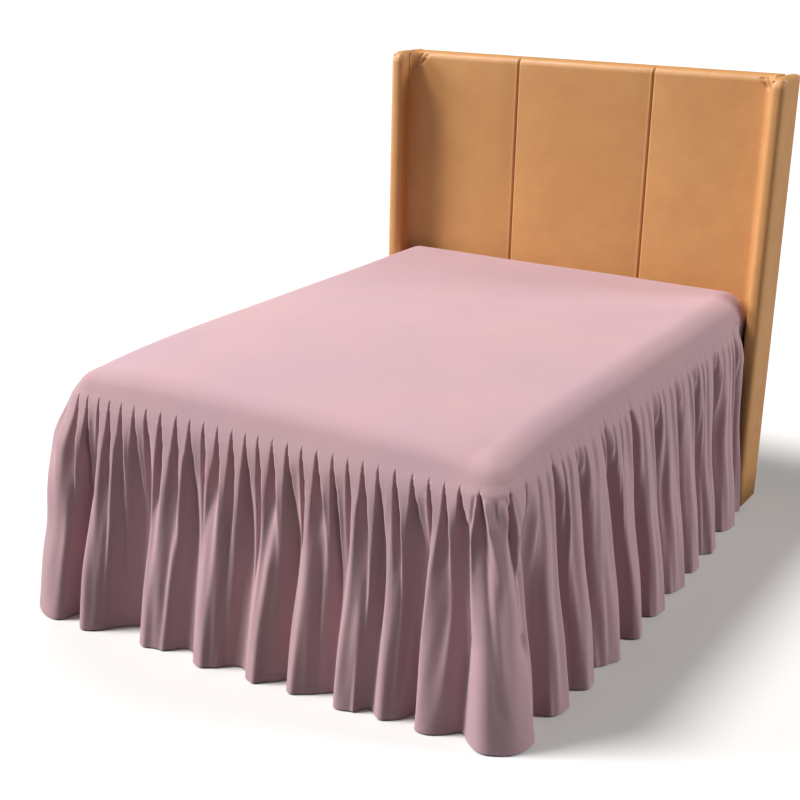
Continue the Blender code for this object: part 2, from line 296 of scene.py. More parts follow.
SEAM = seam_line()
SEAM_RUNS = np.concatenate(([0], np.cumsum(np.linalg.norm(np.diff(SEAM, axis=0), axis=1))))
SEAM_RUN = SEAM_RUNS[-1]
EVEN_RUNS = np.linspace(0, SEAM_RUN, EVEN_STEPS)
EVEN_SEAM = np.stack([np.interp(EVEN_RUNS, SEAM_RUNS, SEAM[:, k]) for k in (0, 1)], axis=1)
ALONG = np.gradient(EVEN_SEAM, axis=0)
ALONG = np.stack([widened(ALONG[:, k], DIRECTION_SPREAD) for k in (0, 1)], axis=1)
ALONG /= np.linalg.norm(ALONG, axis=1)[:, None]
BEYOND = EVEN_SEAM - np.stack([np.clip(EVEN_SEAM[:, 0], -CORE_X, CORE_X),
                              np.clip(EVEN_SEAM[:, 1], -CORE_Y, 2.0)], axis=1)
BEYOND /= plump(BEYOND[:, 0], BEYOND[:, 1])[:, None]
KICKED_SEAM = EVEN_SEAM + EDGE_KICK * kick_share(EVEN_SEAM[:, 1])[:, None] * BEYOND
print(f"the seam is {SEAM_RUN:.3f} m long")


def seam_frame(run):
    """Place on the seam and its outward direction, run metres from the left head end."""
    place = np.stack([np.interp(run, EVEN_RUNS, KICKED_SEAM[:, k]) for k in (0, 1)], axis=-1)
    along = np.stack([np.interp(run, EVEN_RUNS, ALONG[:, k]) for k in (0, 1)], axis=-1)
    along /= np.linalg.norm(along, axis=-1)[..., None]
    beyond = run - np.clip(run, 0, SEAM_RUN)
    place = place + beyond[..., None] * along
    return place, along, np.stack([along[..., 1], -along[..., 0]], axis=-1)


# %% [markdown]
# A mattress isn't even.  It is fuller in the middle, rises a little towards the head, and its two
# foot corners are soft.  Cloth that lies loose on it has faint waves too.  All of this fades out
# towards the seam, which stays level.

# %% The unevenness of the top
SOFT_WAVES = (
    (0.0011, (5.1, 2.3, 0.6), (-1.1, 3.7, 0.0)),
    (0.0007, (9.7, -6.1, 2.0), (0.0, 4.9, 0.4)),
)


def top_unevenness(across, along):
    """Crown of the mattress, its rise towards the head and its two soft foot corners."""
    crown = CROWN * (1 - across ** 2) * (1 - along ** 2)
    return crown + TOP_RISE * along - FOOT_CORNER_SAG * (across * np.minimum(along, 0.0)) ** 6


def soft_waves(x, y):
    """The faint unevenness of cloth that lies loose on a mattress."""
    waves = 0.0
    for size, *turns in SOFT_WAVES:
        first, second = (np.sin(by_x * x + by_y * y + start) for by_x, by_y, start in turns)
        waves += size * first * second
    return waves


def lifted(height, flat_x, flat_y):
    """How much higher the uneven panel is than an even one, at a place of the flat panel."""
    share = (height - SEAM_HEIGHT) / (BED_TOP - SEAM_HEIGHT)
    across = np.clip(flat_x, -CORE_X, CORE_X) / CORE_X
    along = np.clip(flat_y, -CORE_Y, CORE_Y) / CORE_Y
    return top_unevenness(across, along) * share + soft_waves(flat_x, flat_y) * smooth_step(share)


print(f"the middle stands {1000 * lifted(BED_TOP, 0.0, 0.0):.0f} mm above an even panel")

# %% [markdown]
# ## The gathers
#
# A gather is one small pleat at the seam: a ridge with a valley on each side.  Their steps are a
# little uneven, because a sewer pushes the cloth along by hand.  The same count runs along the deck
# and the ruffle, so the dimples in the deck's edge sit right over the valleys.  Along the foot, in
# full view, each valley has its own place in a list.

# %% Where the gathers are
LEFT_GATHERS = 36
FOOT_GATHERS = 32
RIGHT_GATHERS = 35
GATHERS = LEFT_GATHERS + FOOT_GATHERS + RIGHT_GATHERS
UNEVEN_STEPS = ((0.17, 0.9, 1.0), (0.09, 2.3, 0.0))


def even_gather_run(gather):
    """Way along the seam to a gather on the sides of the bed."""
    uneven = sum(size * np.sin(turn * gather + start) for size, turn, start in UNEVEN_STEPS)
    return SEAM_RUN / GATHERS * (gather + uneven)


FOOT_SLITS = (1.776, 1.820, 1.850, 1.891, 1.930, 1.974, 2.021, 2.064, 2.116, 2.171, 2.218,
              2.266, 2.313, 2.361, 2.406, 2.447, 2.493, 2.541, 2.586, 2.633, 2.682, 2.728,
              2.773, 2.818, 2.867, 2.917, 2.964, 3.007, 3.049, 3.095, 3.165)
FOOT_COUNTS = LEFT_GATHERS + np.arange(FOOT_GATHERS + 1)
FOOT_RUNS = np.concatenate(([even_gather_run(FOOT_COUNTS[0])], FOOT_SLITS,
                            [even_gather_run(FOOT_COUNTS[-1])]))


def gather_run(gather):
    """Way along the seam to a gather."""
    at_foot = (gather > FOOT_COUNTS[0]) & (gather < FOOT_COUNTS[-1])
    return np.where(at_foot, eased(gather, FOOT_COUNTS, FOOT_RUNS), even_gather_run(gather))


GATHER_COUNT = np.linspace(-2, GATHERS + 2, 8 * GATHERS)
GATHER_RUNS = gather_run(GATHER_COUNT)
print(f"{GATHERS} gathers, {1000 * SEAM_RUN / GATHERS:.0f} mm apart on average")

# %% [markdown]
# No two gathers are alike.  Each gets its own width, size and slant, begins a little higher or lower
# and fades out at its own height.  These values are drawn once, from a fixed seed, and are eased
# from one gather to the next.

# %% What is random in a gather
VALLEY_FULLNESS = 2.1
chance = np.random.default_rng(11)


def per_gather(low, high):
    """A function of the gather count with a random value at each whole count, eased between."""
    values = chance.uniform(low, high, GATHERS + 6)

    def at(gather):
        whole = np.floor(gather)
        share = smooth_step(gather - whole)
        here = np.clip(whole.astype(int) + 2, 0, GATHERS + 4)
        return values[here] * (1 - share) + values[here + 1] * share

    return at


gather_skew = per_gather(0.10, 0.60)
gather_width = per_gather(0.86, 1.14)
gather_size = per_gather(0.80, 1.18)
gather_end = per_gather(0.10, 0.80)
gather_drift = per_gather(-0.012, 0.012)
gather_delay = per_gather(0.0, 0.007)


def gather_valley(gather, half_width, crest, lean):
    """1 on the floor of a gather's valley and 0 on its ridge; lean makes one side steeper."""
    skew = lean * gather_skew(gather + 0.5)
    turned = gather + skew * (1 - np.cos(2 * np.pi * gather)) / (2 * np.pi)
    reach = np.minimum(half_width * gather_width(gather), 0.5)
    away = np.minimum(np.abs(turned - np.round(turned)) / reach, 1.0)
    return (1 - away ** VALLEY_FULLNESS) ** crest


print("first gathers' widths:", gather_width(np.arange(4.0)).round(2))

# %% [markdown]
# ## The ruffle
#
# The ruffle is a strip about 1.6 times as long as the seam.  Its gathers are small and close at the
# seam.  Lower down they run together, two or three at a time, into broad folds that stand well out
# at the hem.  A cloth simulation can find such folds, but not the ones that this skirt has.  So the
# folds are written down in short tables, and the cloth is laid on them.
#
# The first table has a row for each height: how far out the cloth stands, how deep, wide and crisp
# its gathers are, how much of the hem's folds has formed on the foot and on the sides, and how
# narrow the valleys of those folds still are.

# %% The ruffle at each height
Level = namedtuple("Level", "drop flare gather half_width crest fold side_fold fold_narrow")
LEVELS = (
    Level(0.000, 0.0163, 0.0040, 0.075, 1.5, 0.00, 0.05, 12.0),
    Level(0.006, 0.0180, 0.0110, 0.082, 1.5, 0.00, 0.08, 11.0),
    Level(0.014, 0.0200, 0.0175, 0.092, 1.5, 0.00, 0.12, 9.5),
    Level(0.027, 0.0235, 0.0240, 0.112, 1.4, 0.01, 0.18, 8.0),
    Level(0.055, 0.0290, 0.0275, 0.155, 1.4, 0.03, 0.28, 5.5),
    Level(0.085, 0.0330, 0.0285, 0.200, 1.3, 0.07, 0.40, 4.0),
    Level(0.210, 0.0440, 0.0255, 0.320, 1.3, 0.27, 0.92, 2.0),
    Level(0.500, 0.0640, 0.0150, 0.440, 1.5, 0.72, 1.32, 1.30),
    Level(0.750, 0.0900, 0.0095, 0.480, 1.8, 0.92, 1.18, 1.10),
    Level(1.000, 0.1090, 0.0060, 0.500, 2.0, 1.00, 1.00, 1.0),
)
print("heights:", [row.drop for row in LEVELS])

# %% [markdown]
# The next table has a row for each fold of the hem: its step from the ridge before, the depth of its
# valley, how far its crest leans along the hem, and how far its line drifts on the way up.  A swell
# moves a longer stretch of the hem out or in.

# %% The folds of the hem
Fold = namedtuple("Fold", "step depth lean drift", defaults=(0.0,))
LEFT_FOLDS = (
    Fold(0.075, 0.088, 0.004),
    Fold(0.182, 0.104, -0.008),
    Fold(0.171, 0.096, 0.006),
    Fold(0.188, 0.108, 0.010),
    Fold(0.163, 0.092, -0.006),
    Fold(0.179, 0.104, 0.003),
    Fold(0.190, 0.110, -0.009),
    Fold(0.158, 0.094, 0.007),
    Fold(0.176, 0.100, 0.010),
    Fold(0.193, 0.098, -0.004),
)
FOOT_FOLDS = (
    Fold(0.121, 0.030, 0.026),
    Fold(0.112, 0.119, 0.007, 0.020),
    Fold(0.230, 0.060, -0.011, 0.018),
    Fold(0.179, 0.066, 0.010, 0.012),
    Fold(0.180, 0.041, -0.008, 0.018),
    Fold(0.120, 0.066, -0.004, 0.012),
    Fold(0.152, 0.054, -0.004, 0.012),
    Fold(0.113, 0.037, 0.010),
    Fold(0.138, 0.125, -0.030, -0.018),
    Fold(0.111, 0.069, 0.019, -0.020),
)
RIGHT_FOLDS = (
    Fold(0.207, 0.081, -0.003),
    Fold(0.152, 0.071, 0.002),
    Fold(0.169, 0.057, 0.005),
    Fold(0.188, 0.109, -0.022),
    Fold(0.158, 0.055, 0.000),
    Fold(0.196, 0.055, 0.000),
    Fold(0.155, 0.055, 0.000),
    Fold(0.170, 0.055, -0.009),
    Fold(0.230, 0.106, 0.000),
    Fold(0.168, 0.075, 0.000),
)
FOLDS = LEFT_FOLDS + FOOT_FOLDS + RIGHT_FOLDS
RIDGES = np.cumsum([fold.step for fold in FOLDS])
Swell = namedtuple("Swell", "at width out")
SWELLS = (
    Swell(0.000, 0.30, -0.022),
    Swell(1.850, 0.25, 0.051),
    Swell(2.250, 0.40, 0.026),
    Swell(2.950, 0.15, -0.040),
    Swell(3.155, 0.14, 0.018),
    Swell(3.750, 0.80, 0.021),
    Swell(4.912, 0.30, -0.031),
)
print("hem folds:", len(FOLDS), "gathers:", GATHERS)

# %% [markdown]
# Gathers behave differently on the foot and on the sides.  On the foot they are deep slits that run
# down into the folds.  Along the sides they are shallow, and the deep folds begin close under the
# seam.  The cloth of a gather also slides along the bed as it falls, most of all near the corners,
# and the cloth at the left foot corner bulges out below the seam.

# %% What makes each gather different
RIPPLES = ((0.023, 0.0006, 1.3, 0.4), (0.037, 0.0013, -0.9, 2.2), (0.061, 0.0024, 0.7, 4.1))
RIPPLE_SLIP = 6
RIPPLE_START = 0.3
CORNER_RUNS = (1.700, 3.215)
CORNER_BLEND = 0.10
SIDE_GATHER = 0.26
SIDE_DIMPLE = 0.006
SIDE_SEAM_WIDTH = 0.26
SIDE_SEAM_NARROWING = 0.65
FOOT_SKEW = 0.12
SIDE_SKEW = -0.10
SIDE_SKEW_AT_SEAM = -0.22
SKEW_EASING = 0.5
SIDE_FOLD_NARROWING = 0.35
FOLD_VALLEY = 1.5
FADE_SHARE = 0.80
FADE_DROP = 0.55
CREST_FADE_SHARE = 0.60
CREST_FADE_FROM = 0.15
CREST_FADE_DROP = 0.35
LEAN_DROP = 0.2
SOFT_FLOOR = 0.004
SOFT_FLOOR_DROP = 0.012
HEAD_KICK_DROP = 0.15
CREST_NARROWING = 0.08
SEAM_RISE = 0.030
BAND_GAP = 0.0002
BAND_GAP_RISE = 0.006
FOOT_DIMPLE_REACH = 0.018
SIDE_DIMPLE_REACH = 0.050

DRIFTS = ((1.70, 0.0), (1.85, 0.024), (3.03, 0.028), (3.10, 0.012), (3.20, -0.034), (3.30, -0.010),
          (3.50, 0.0))
DRIFT_DROPS = (0, 0.05, 0.12, 0.30, 0.60, 1.0)
DRIFT_SHARES = (0, 0.30, 0.58, 0.85, 1.0, 1.0)
GATHER_DRIFT_DROP = 0.45
FOLD_DRIFT_FROM = 0.2
FOLD_DRIFT_DROP = 0.8
LEFT_CORNER_RUN = 1.74
LEFT_CORNER_WIDTH = 0.20
LEFT_CORNER_FLARE = 0.032
LEFT_CORNER_WINDOW = (0.02, 0.20, 0.30, 0.36)
print(f"the strip laps {1000 * SEAM_RISE:.0f} mm over the deck's edge")

# %% [markdown]
# Creases are listed one by one.  Each is a soft trough, or a ridge where its depth is negative: it
# starts at a run and a drop, slants along the bed as it falls, and has a width and a depth.  Long
# ones cross the folds all round.  Short ones pinch the cloth at the corner nearest the camera.

# %% Creases listed one by one
Crease = namedtuple("Crease", "run slant top bottom width depth")
CREASES = (
    Crease(2.06, 0.030, 0.30, 1.05, 0.012, 0.007),
    Crease(2.20, -0.025, 0.45, 1.10, 0.010, -0.006),
    Crease(2.37, 0.020, 0.25, 0.95, 0.010, 0.006),
    Crease(2.52, -0.018, 0.40, 1.10, 0.011, -0.006),
    Crease(2.66, 0.020, 0.30, 0.90, 0.009, 0.005),
    Crease(2.80, 0.015, 0.50, 1.10, 0.010, -0.006),
    Crease(2.93, -0.020, 0.25, 0.85, 0.009, 0.006),
    Crease(3.06, 0.022, 0.35, 1.10, 0.010, -0.007),
    Crease(3.14, -0.020, 0.30, 1.10, 0.008, 0.008),
    Crease(3.20, 0.015, 0.10, 0.70, 0.008, 0.007),
    Crease(3.38, -0.025, 0.15, 0.80, 0.010, 0.007),
    Crease(3.57, 0.020, 0.30, 1.00, 0.011, -0.006),
    Crease(3.74, -0.020, 0.10, 0.75, 0.010, 0.007),
    Crease(3.92, 0.025, 0.35, 1.05, 0.012, -0.006),
    Crease(4.10, -0.020, 0.15, 0.90, 0.010, 0.006),
    Crease(4.40, 0.020, 0.20, 0.85, 0.010, 0.006),
)
LONG_CREASE_ENDS = (0.12, 0.12)
CORNER_CREASES = (
    Crease(3.050, 0.165, 0.000, 0.140, 0.0045, 0.008),
    Crease(3.072, 0.050, 0.100, 0.600, 0.0060, 0.012),
    Crease(3.098, 0.022, 0.550, 1.100, 0.0080, 0.009),
    Crease(3.085, 0.000, 0.000, 0.080, 0.0030, 0.006),
    Crease(3.098, 0.090, 0.000, 0.090, 0.0035, 0.007),
    Crease(3.108, 0.024, 0.080, 0.800, 0.0032, 0.004),
    Crease(3.107, 0.080, 0.000, 0.080, 0.0035, -0.004),
    Crease(3.115, 0.024, 0.080, 0.800, 0.0035, -0.003),
    Crease(3.126, 0.050, 0.006, 0.070, 0.0030, 0.006),
    Crease(3.137, 0.080, 0.008, 0.120, 0.0035, -0.004),
    Crease(3.147, 0.080, 0.000, 0.150, 0.0035, 0.004),
    Crease(3.158, 0.070, 0.006, 0.200, 0.0040, -0.003),
    Crease(3.170, 0.050, 0.000, 0.200, 0.0040, 0.004),
    Crease(3.240, -0.330, 0.000, 0.120, 0.0060, 0.004),
    Crease(3.200, -0.140, 0.110, 0.320, 0.0100, 0.007),
    Crease(3.171, -0.020, 0.290, 0.600, 0.0100, 0.011),
    Crease(3.163, 0.030, 0.550, 1.100, 0.0120, 0.010),
)
CORNER_CREASE_ENDS = (0.03, 0.08)


def creased(run, drop, creases, ends):
    """How far a table of creases takes the cloth in; ends are the lengths of their two tips."""
    dip = 0.0
    for crease in creases:
        middle = crease.run + crease.slant * (drop - crease.top)
        along = window(drop, crease.top, ends[0], crease.bottom, ends[1])
        dip += crease.depth * along * np.exp(-((run - middle) / crease.width) ** 2)
    return dip


print("creases:", len(CREASES), "long and", len(CORNER_CREASES), "at the corner")

# %% [markdown]
# The tables are read with smooth curves between their rows, so that no row shows as a line in the
# cloth.  The turn of a fold counts whole turns from ridge to ridge: its cosine is the wave of the
# hem, and a skew makes one flank of each fold steeper than the other.

# %% Read the tables
def level(name, drop):
    """One column of the level table at each drop."""
    return eased(drop, [row.drop for row in LEVELS], [getattr(row, name) for row in LEVELS])


def fold_column(name, run):
    """One column of the fold table, eased from ridge to ridge."""
    return eased(run, RIDGES, [getattr(fold, name) for fold in FOLDS])


def swell_at(run):
    """How much further out the whole ruffle stands at its hem."""
    return sum(swell.out * hump((run - swell.at) / swell.width) for swell in SWELLS)


def side_share(gather):
    """0 along the foot and 1 along both sides of the bed."""
    run = gather_run(gather)
    left = 1 - smooth_step((run - CORNER_RUNS[0]) / CORNER_BLEND)
    return left + smooth_step((run - CORNER_RUNS[1]) / CORNER_BLEND)


def drift_at(gather, drop):
    """How far along the seam the cloth of a gather has slid by the time it is at a drop."""
    mean = np.interp(gather_run(gather), [row[0] for row in DRIFTS], [row[1] for row in DRIFTS])
    share = eased(drop, DRIFT_DROPS, DRIFT_SHARES)
    return mean * share + gather_drift(gather + 0.5) * smooth_step(drop / GATHER_DRIFT_DROP)


def fold_turn_at(gather, run, drop):
    """Turn of the hem folds: a whole number of turns on each ridge, with one flank steeper."""
    side = side_share(gather)
    easing = smooth_step(drop / SKEW_EASING)
    side_skew = SIDE_SKEW_AT_SEAM + (SIDE_SKEW - SIDE_SKEW_AT_SEAM) * easing
    skew = FOOT_SKEW * (1 - side) + side_skew * side
    still_drifted = 1 - smooth_step((drop - FOLD_DRIFT_FROM) / FOLD_DRIFT_DROP)
    moved = run - fold_column("drift", run) * still_drifted
    fold = np.interp(moved, RIDGES, np.arange(len(RIDGES)))
    return 2 * np.pi * (fold - skew * (1 - np.cos(2 * np.pi * fold)) / 2)


print("hem folds begin at runs", RIDGES[:3].round(3), "...")

# %% [markdown]
# Two dips take the cloth in from the ruffle's outer surface: the gathers' valleys, which open and
# fade as they fall, and the folds' valleys, which are narrow under the seam and broad at the hem.

# %% The two dips
def gather_dip(gather, run, drop):
    """How far the gathers take the cloth in."""
    side = side_share(gather)
    valley = ((1 - np.cos(fold_turn_at(gather, run, drop))) / 2) ** FOLD_VALLEY
    size = gather_size(gather) * (1 - side * (1 - SIDE_GATHER))
    size *= 1 - FADE_SHARE * smooth_step((drop - gather_end(gather)) / FADE_DROP)
    on_crest = (1 - side) * (1 - valley)
    size *= 1 - CREST_FADE_SHARE * on_crest * smooth_step((drop - CREST_FADE_FROM) / CREST_FADE_DROP)
    slit = np.maximum(drop - gather_delay(gather), 0.0)
    side_width = side * SIDE_SEAM_WIDTH * (1 - SIDE_SEAM_NARROWING * valley)
    half_width = np.maximum(level("half_width", slit), side_width)
    depth = np.maximum(level("gather", slit), side * SIDE_DIMPLE)
    lean = smooth_step(drop / LEAN_DROP)
    return size * depth * gather_valley(gather, half_width, level("crest", drop), lean)


def fold_dip(gather, run, drop):
    """How far the hem folds take the cloth in."""
    side = side_share(gather)
    share = level("fold", drop) * (1 - side) + level("side_fold", drop) * side
    narrow = level("fold_narrow", drop) * (1 + SIDE_FOLD_NARROWING * side)
    valley = ((1 - np.cos(fold_turn_at(gather, run, drop))) / 2) ** narrow
    return share * fold_column("depth", run) * valley, share


def dimple_share(gather, above):
    """How much of the seam's dimples is left, above metres higher up on the panel."""
    side = side_share(gather)
    return 1 - smooth_step(above / (FOOT_DIMPLE_REACH * (1 - side) + SIDE_DIMPLE_REACH * side))


foot_middle = np.array([LEFT_GATHERS + FOOT_GATHERS / 2])
for drop in (0.1, 0.5, 1.0):
    dip = fold_dip(foot_middle, gather_run(foot_middle), drop)[0][0]
    print(f"drop {drop}: the fold in the middle of the foot goes in {1000 * dip:.0f} mm")

# %% [markdown]
# The strip is sewn over the deck's edge.  Above the seam it runs up the deck's slope for three
# centimetres, and the deck's own edge dips in behind it, so no gap opens between the two.  Below the
# seam, flare, swells, dips, creases and fine ripples add up to how far out each point hangs.  A soft
# floor keeps the deepest valleys clear of the base.

# %% Where the ruffle hangs
def rise_on_panel(run, above):
    """How the strip runs on up the deck's edge, above metres higher than the seam."""
    place = seam_frame(run)[0]
    way = np.stack([np.interp(run, EVEN_RUNS, BEYOND[:, k]) for k in (0, 1)], axis=-1)
    leave = leave_angle(place[..., 1])
    reach = EDGE_LENGTH - above / np.sin(leave)
    out, height = edge_profile(reach, leave)
    end_out, end_height = edge_profile(EDGE_LENGTH, leave)
    over = way * (reach / np.abs(way).max(axis=-1))[..., None]
    core_x = np.clip(place[..., 0], -CORE_X, CORE_X)
    core_y = np.clip(place[..., 1], -CORE_Y, CORE_Y)
    rise = height - end_height
    rise = rise + lifted(SEAM_HEIGHT + rise, core_x + over[..., 0], core_y + over[..., 1])
    return (out - end_out)[..., None] * way, rise


def ruffle_points(gather, drop):
    """Where the ruffle's cloth hangs at a gather count and a share of its drop."""
    above = np.maximum(-drop, 0.0) * RUFFLE_DROP
    drop = np.maximum(drop, 0.0)
    run = gather_run(gather) + drift_at(gather, drop)
    place, along, outwards = seam_frame(run)
    dip, fold_share = fold_dip(gather, run, drop)
    out = level("flare", drop) + level("fold", drop) * swell_at(run)
    bulge = hump((run - LEFT_CORNER_RUN) / LEFT_CORNER_WIDTH) * window(drop, *LEFT_CORNER_WINDOW)
    out += LEFT_CORNER_FLARE * bulge
    out -= (dip + gather_dip(gather, run, drop)) * dimple_share(gather, above)
    out -= creased(run, drop, CREASES, LONG_CREASE_ENDS)
    out -= creased(run, drop, CORNER_CREASES, CORNER_CREASE_ENDS)
    for length, size, slip, start in RIPPLES:
        turn = 2 * np.pi * run / length + slip * drop * RIPPLE_SLIP + start
        out += size * smooth_step(drop / RIPPLE_START) * np.sin(turn)
    floored = (out + np.sqrt(out ** 2 + SOFT_FLOOR ** 2)) / 2
    out += (floored - out) * smooth_step(drop / SOFT_FLOOR_DROP)
    kicked = kick_share(place[..., 1])
    out -= EDGE_KICK * (kicked + (1 - kicked) * smooth_step(1 - drop / HEAD_KICK_DROP))
    out += BAND_GAP * smooth_step(above / BAND_GAP_RISE)
    turn = fold_turn_at(gather, run, drop)
    aside = CREST_NARROWING * fold_column("depth", run) * np.sin(2 * turn)
    aside += fold_column("lean", run) * np.cos(turn)
    slide, rise = rise_on_panel(run, above)
    plan = place + out[..., None] * outwards + (aside * fold_share)[..., None] * along + slide
    height = SEAM_HEIGHT - drop * RUFFLE_DROP + rise
    return np.concatenate([plan, height[..., None]], axis=-1)


print("the hem in the middle of the foot:", ruffle_points(foot_middle, np.ones(1)).round(3))

# %% [markdown]
# ## Lay the cloth
#
# The panel's grid lines are closer where it bends than over its flat middle.  Near the seam, each
# gather pulls a shallow dimple into the edge, and the edge is tucked a little under the strip.

# %% Wrap the deck over the mattress
DECK_COLUMNS = 176
DECK_ROWS = 226
EDGE_SHARE = 0.13
RUN_BATCH = 2000
TUCK_DEPTH = 0.008
TUCK_START = 0.006
HEAD_FADE_FROM = -0.01
HEAD_FADE = 0.03


def panel_line(share, core):
    """Place across the flat panel, with the outer shares of the grid lines kept for its edges."""
    reach = core + EDGE_LENGTH
    return np.interp(share, [0, EDGE_SHARE, 1 - EDGE_SHARE, 1], [-reach, -core, core, reach])


def nearest_run(x, y):
    """Way along the seam to the place nearest to each plan point."""
    found = np.empty(len(x))
    for start in range(0, len(x), RUN_BATCH):
        some = slice(start, start + RUN_BATCH)
        away = (x[some, None] - KICKED_SEAM[None, :, 0]) ** 2
        away += (y[some, None] - KICKED_SEAM[None, :, 1]) ** 2
        found[some] = EVEN_RUNS[away.argmin(axis=1)]
    return found


def deck_shape(u, v):
    """Where each point of the deck lies."""
    flat_x = panel_line(u, CORE_X)
    flat_y = panel_line(v, CORE_Y)
    over_x = flat_x - np.clip(flat_x, -CORE_X, CORE_X)
    over_y = flat_y - np.clip(flat_y, -CORE_Y, CORE_Y)
    reach = np.maximum(np.abs(over_x), np.abs(over_y))
    length = np.maximum(plump(over_x, over_y), 1e-9)
    out, height = edge_profile(reach, leave_angle(flat_y))
    height += lifted(height, flat_x, flat_y)
    x = flat_x - over_x + out * over_x / length
    y = flat_y - over_y + out * over_y / length
    edge = (height < SEAM_HEIGHT + SIDE_DIMPLE_REACH) & (y < RUFFLE_HEAD_END + HEAD_FADE)
    gather = np.interp(nearest_run(x[edge], y[edge]), GATHER_RUNS, GATHER_COUNT)
    run = gather_run(gather)
    above = np.maximum(height[edge] - SEAM_HEIGHT, 0.0)
    pull = np.zeros(len(x))
    pull[edge] = (gather_dip(gather, run, 0.0 * run) + fold_dip(gather, run, 0.0 * run)[0])
    pull[edge] *= dimple_share(gather, above)
    under = SEAM_RISE - above
    tuck = TUCK_DEPTH * smooth_step((under - TUCK_START) / (SEAM_RISE - TUCK_START))
    pull[edge] += tuck * (1 - smooth_step((y[edge] - RUFFLE_HEAD_END - HEAD_FADE_FROM) / HEAD_FADE))
    x -= pull * over_x / length
    y -= pull * over_y / length
    return np.stack([x, y, height], axis=1), np.stack([flat_x, flat_y], axis=1)


deck = laid_cloth("deck_cloth", DECK_COLUMNS, DECK_ROWS, deck_shape)

# %% [markdown]
# Each strip is a grid with 17 to 20 columns to a gather and 76 rows, eight of them on the part that
# is sewn over the deck.  The rows are closest together under the seam, and the columns crowd into
# the narrow valleys there.  The cut length comes from the hem, where the cloth lies open: its length
# along the folds is the length that was cut.

# %% Sew the three strips
TOP_CROWDING = 0.70
HEM_CROWDING = 0.40
SEAM_BAND = SEAM_RISE / RUFFLE_DROP
ROW_DROPS = np.concatenate([np.linspace(-SEAM_BAND, 0, 9)[:-1], np.linspace(0, 0.06, 21)[:-1],
                            np.linspace(0.06, 0.25, 19)[:-1], np.linspace(0.25, 1, 31)])
RUFFLE_ROWS = len(ROW_DROPS) - 1
HEM_SAMPLES = 60
STRIPS = (
    ("ruffle_left", 0, LEFT_GATHERS, 17),
    ("ruffle_foot", LEFT_GATHERS, FOOT_GATHERS, 20),
    ("ruffle_right", LEFT_GATHERS + FOOT_GATHERS, RIGHT_GATHERS, 18),
)
ruffles = []
for node, first, count, columns in STRIPS:
    samples = first + np.linspace(0, count, count * HEM_SAMPLES)
    hem = ruffle_points(samples, np.ones(len(samples)))
    cut_run = np.concatenate(([0], np.cumsum(np.linalg.norm(np.diff(hem, axis=0), axis=1))))

    def strip_shape(u, v):
        gather = first + u * count
        drop = np.interp((1 - v) * RUFFLE_ROWS, np.arange(RUFFLE_ROWS + 1), ROW_DROPS)
        crowding = TOP_CROWDING + (HEM_CROWDING - TOP_CROWDING) * smooth_step(drop / 0.10)
        gather -= crowding * np.sin(2 * np.pi * gather) / (2 * np.pi)
        flat = np.stack([np.interp(gather, samples, cut_run), -drop * RUFFLE_DROP], axis=1)
        return ruffle_points(gather, drop), flat

    strip = laid_cloth(node + "_cloth", count * columns, RUFFLE_ROWS, strip_shape)
    ruffles.append((strip, node, cut_run[-1]))
    fullness = cut_run[-1] / (SEAM_RUN * count / GATHERS)
    print(f"{strip.name}: cut {cut_run[-1]:.2f} m, {fullness:.2f} times its seam,",
          len(strip.data.polygons), "faces")

# %% [markdown]
# ## The headboard
#
# The headboard is foam on a board, covered in leather: three sections side by side and a wing at
# each end.  A bevelled box would give hard, even faces.  Stretched leather swells between its seams,
# curves into the wings and has a low welt beside each seam.  So each section is a cube cut into many
# strips, and its front is pushed out by a small height map of that shape before its top edge is
# rounded.

# %% A block that can be shaped
def cut_cube(cuts):
    """A unit cube cut into cuts[0] by cuts[1] by cuts[2] strips, as points and a mesh."""
    bm = bmesh.new()
    bmesh.ops.create_cube(bm, size=1.0)
    for axis, count in enumerate(cuts):
        along = [e for e in bm.edges if abs(e.verts[0].co[axis] - e.verts[1].co[axis]) > 0.5]
        bmesh.ops.subdivide_edges(bm, edges=along, cuts=count - 1, use_grid_fill=True)
    return bm


def spaced(share, lines):
    """Places at shares 0 to 1 of a list of grid lines, which needn't be evenly spaced."""
    return np.interp(share * (len(lines) - 1), np.arange(len(lines)), lines)


def shaped_block(name, lines, shape):
    """A closed block with grid lines along its three axes, whose points shape(x, y, z) moves."""
    mesh = mesh_of(cut_cube([len(row) - 1 for row in lines]), name)
    start = points_of(mesh) + 0.5
    placed = [spaced(start[:, axis], row) for axis, row in enumerate(lines)]
    mesh.vertices.foreach_set("co", shape(*placed).ravel())
    mesh.shade_smooth()
    mesh.update()
    return in_scene(name, mesh)


# %% [markdown]
# The leather's limits come from the frame.  A section swells by a few millimetres, dips at its
# seams, and curves forward in a cove where it meets a wing.  Two short pleats at each top corner
# show where the leather was pulled round the bend.

# %% The swell of a section
PANEL_FRONT = panel_low[1]
PANEL_BACK = panel_high[1]
PANEL_TOP = panel_high[2]
WING_INNER = wing_low[0]
WING_OUTER = wing_high[0]
WING_FRONT = wing_low[1]
SEAM_X = panel_high[0]
TOP_ROUNDING = 0.027
COVE = 0.042
PUFF = 0.007
WING_PUFF_LOSS = 0.2
SEAM_REACH = 0.007
SEAM_DEPTH = 0.0045
WELT_SEAM_DEPTH = 0.35 * SEAM_DEPTH
WELT_HEIGHT = 0.0010
WELT_WINDOW = (0.0, 0.003, 0.008, 0.004)
PLEAT_WINDOW = (-0.15, 0.3, 0.75, 0.4)
Pleat = namedtuple("Pleat", "across high low_across low width depth")
PLEATS = (
    Pleat(0.034, 1.496, 0.010, 1.440, 0.0042, 0.0065),
    Pleat(0.056, 1.494, 0.030, 1.452, 0.0040, 0.0085),
)


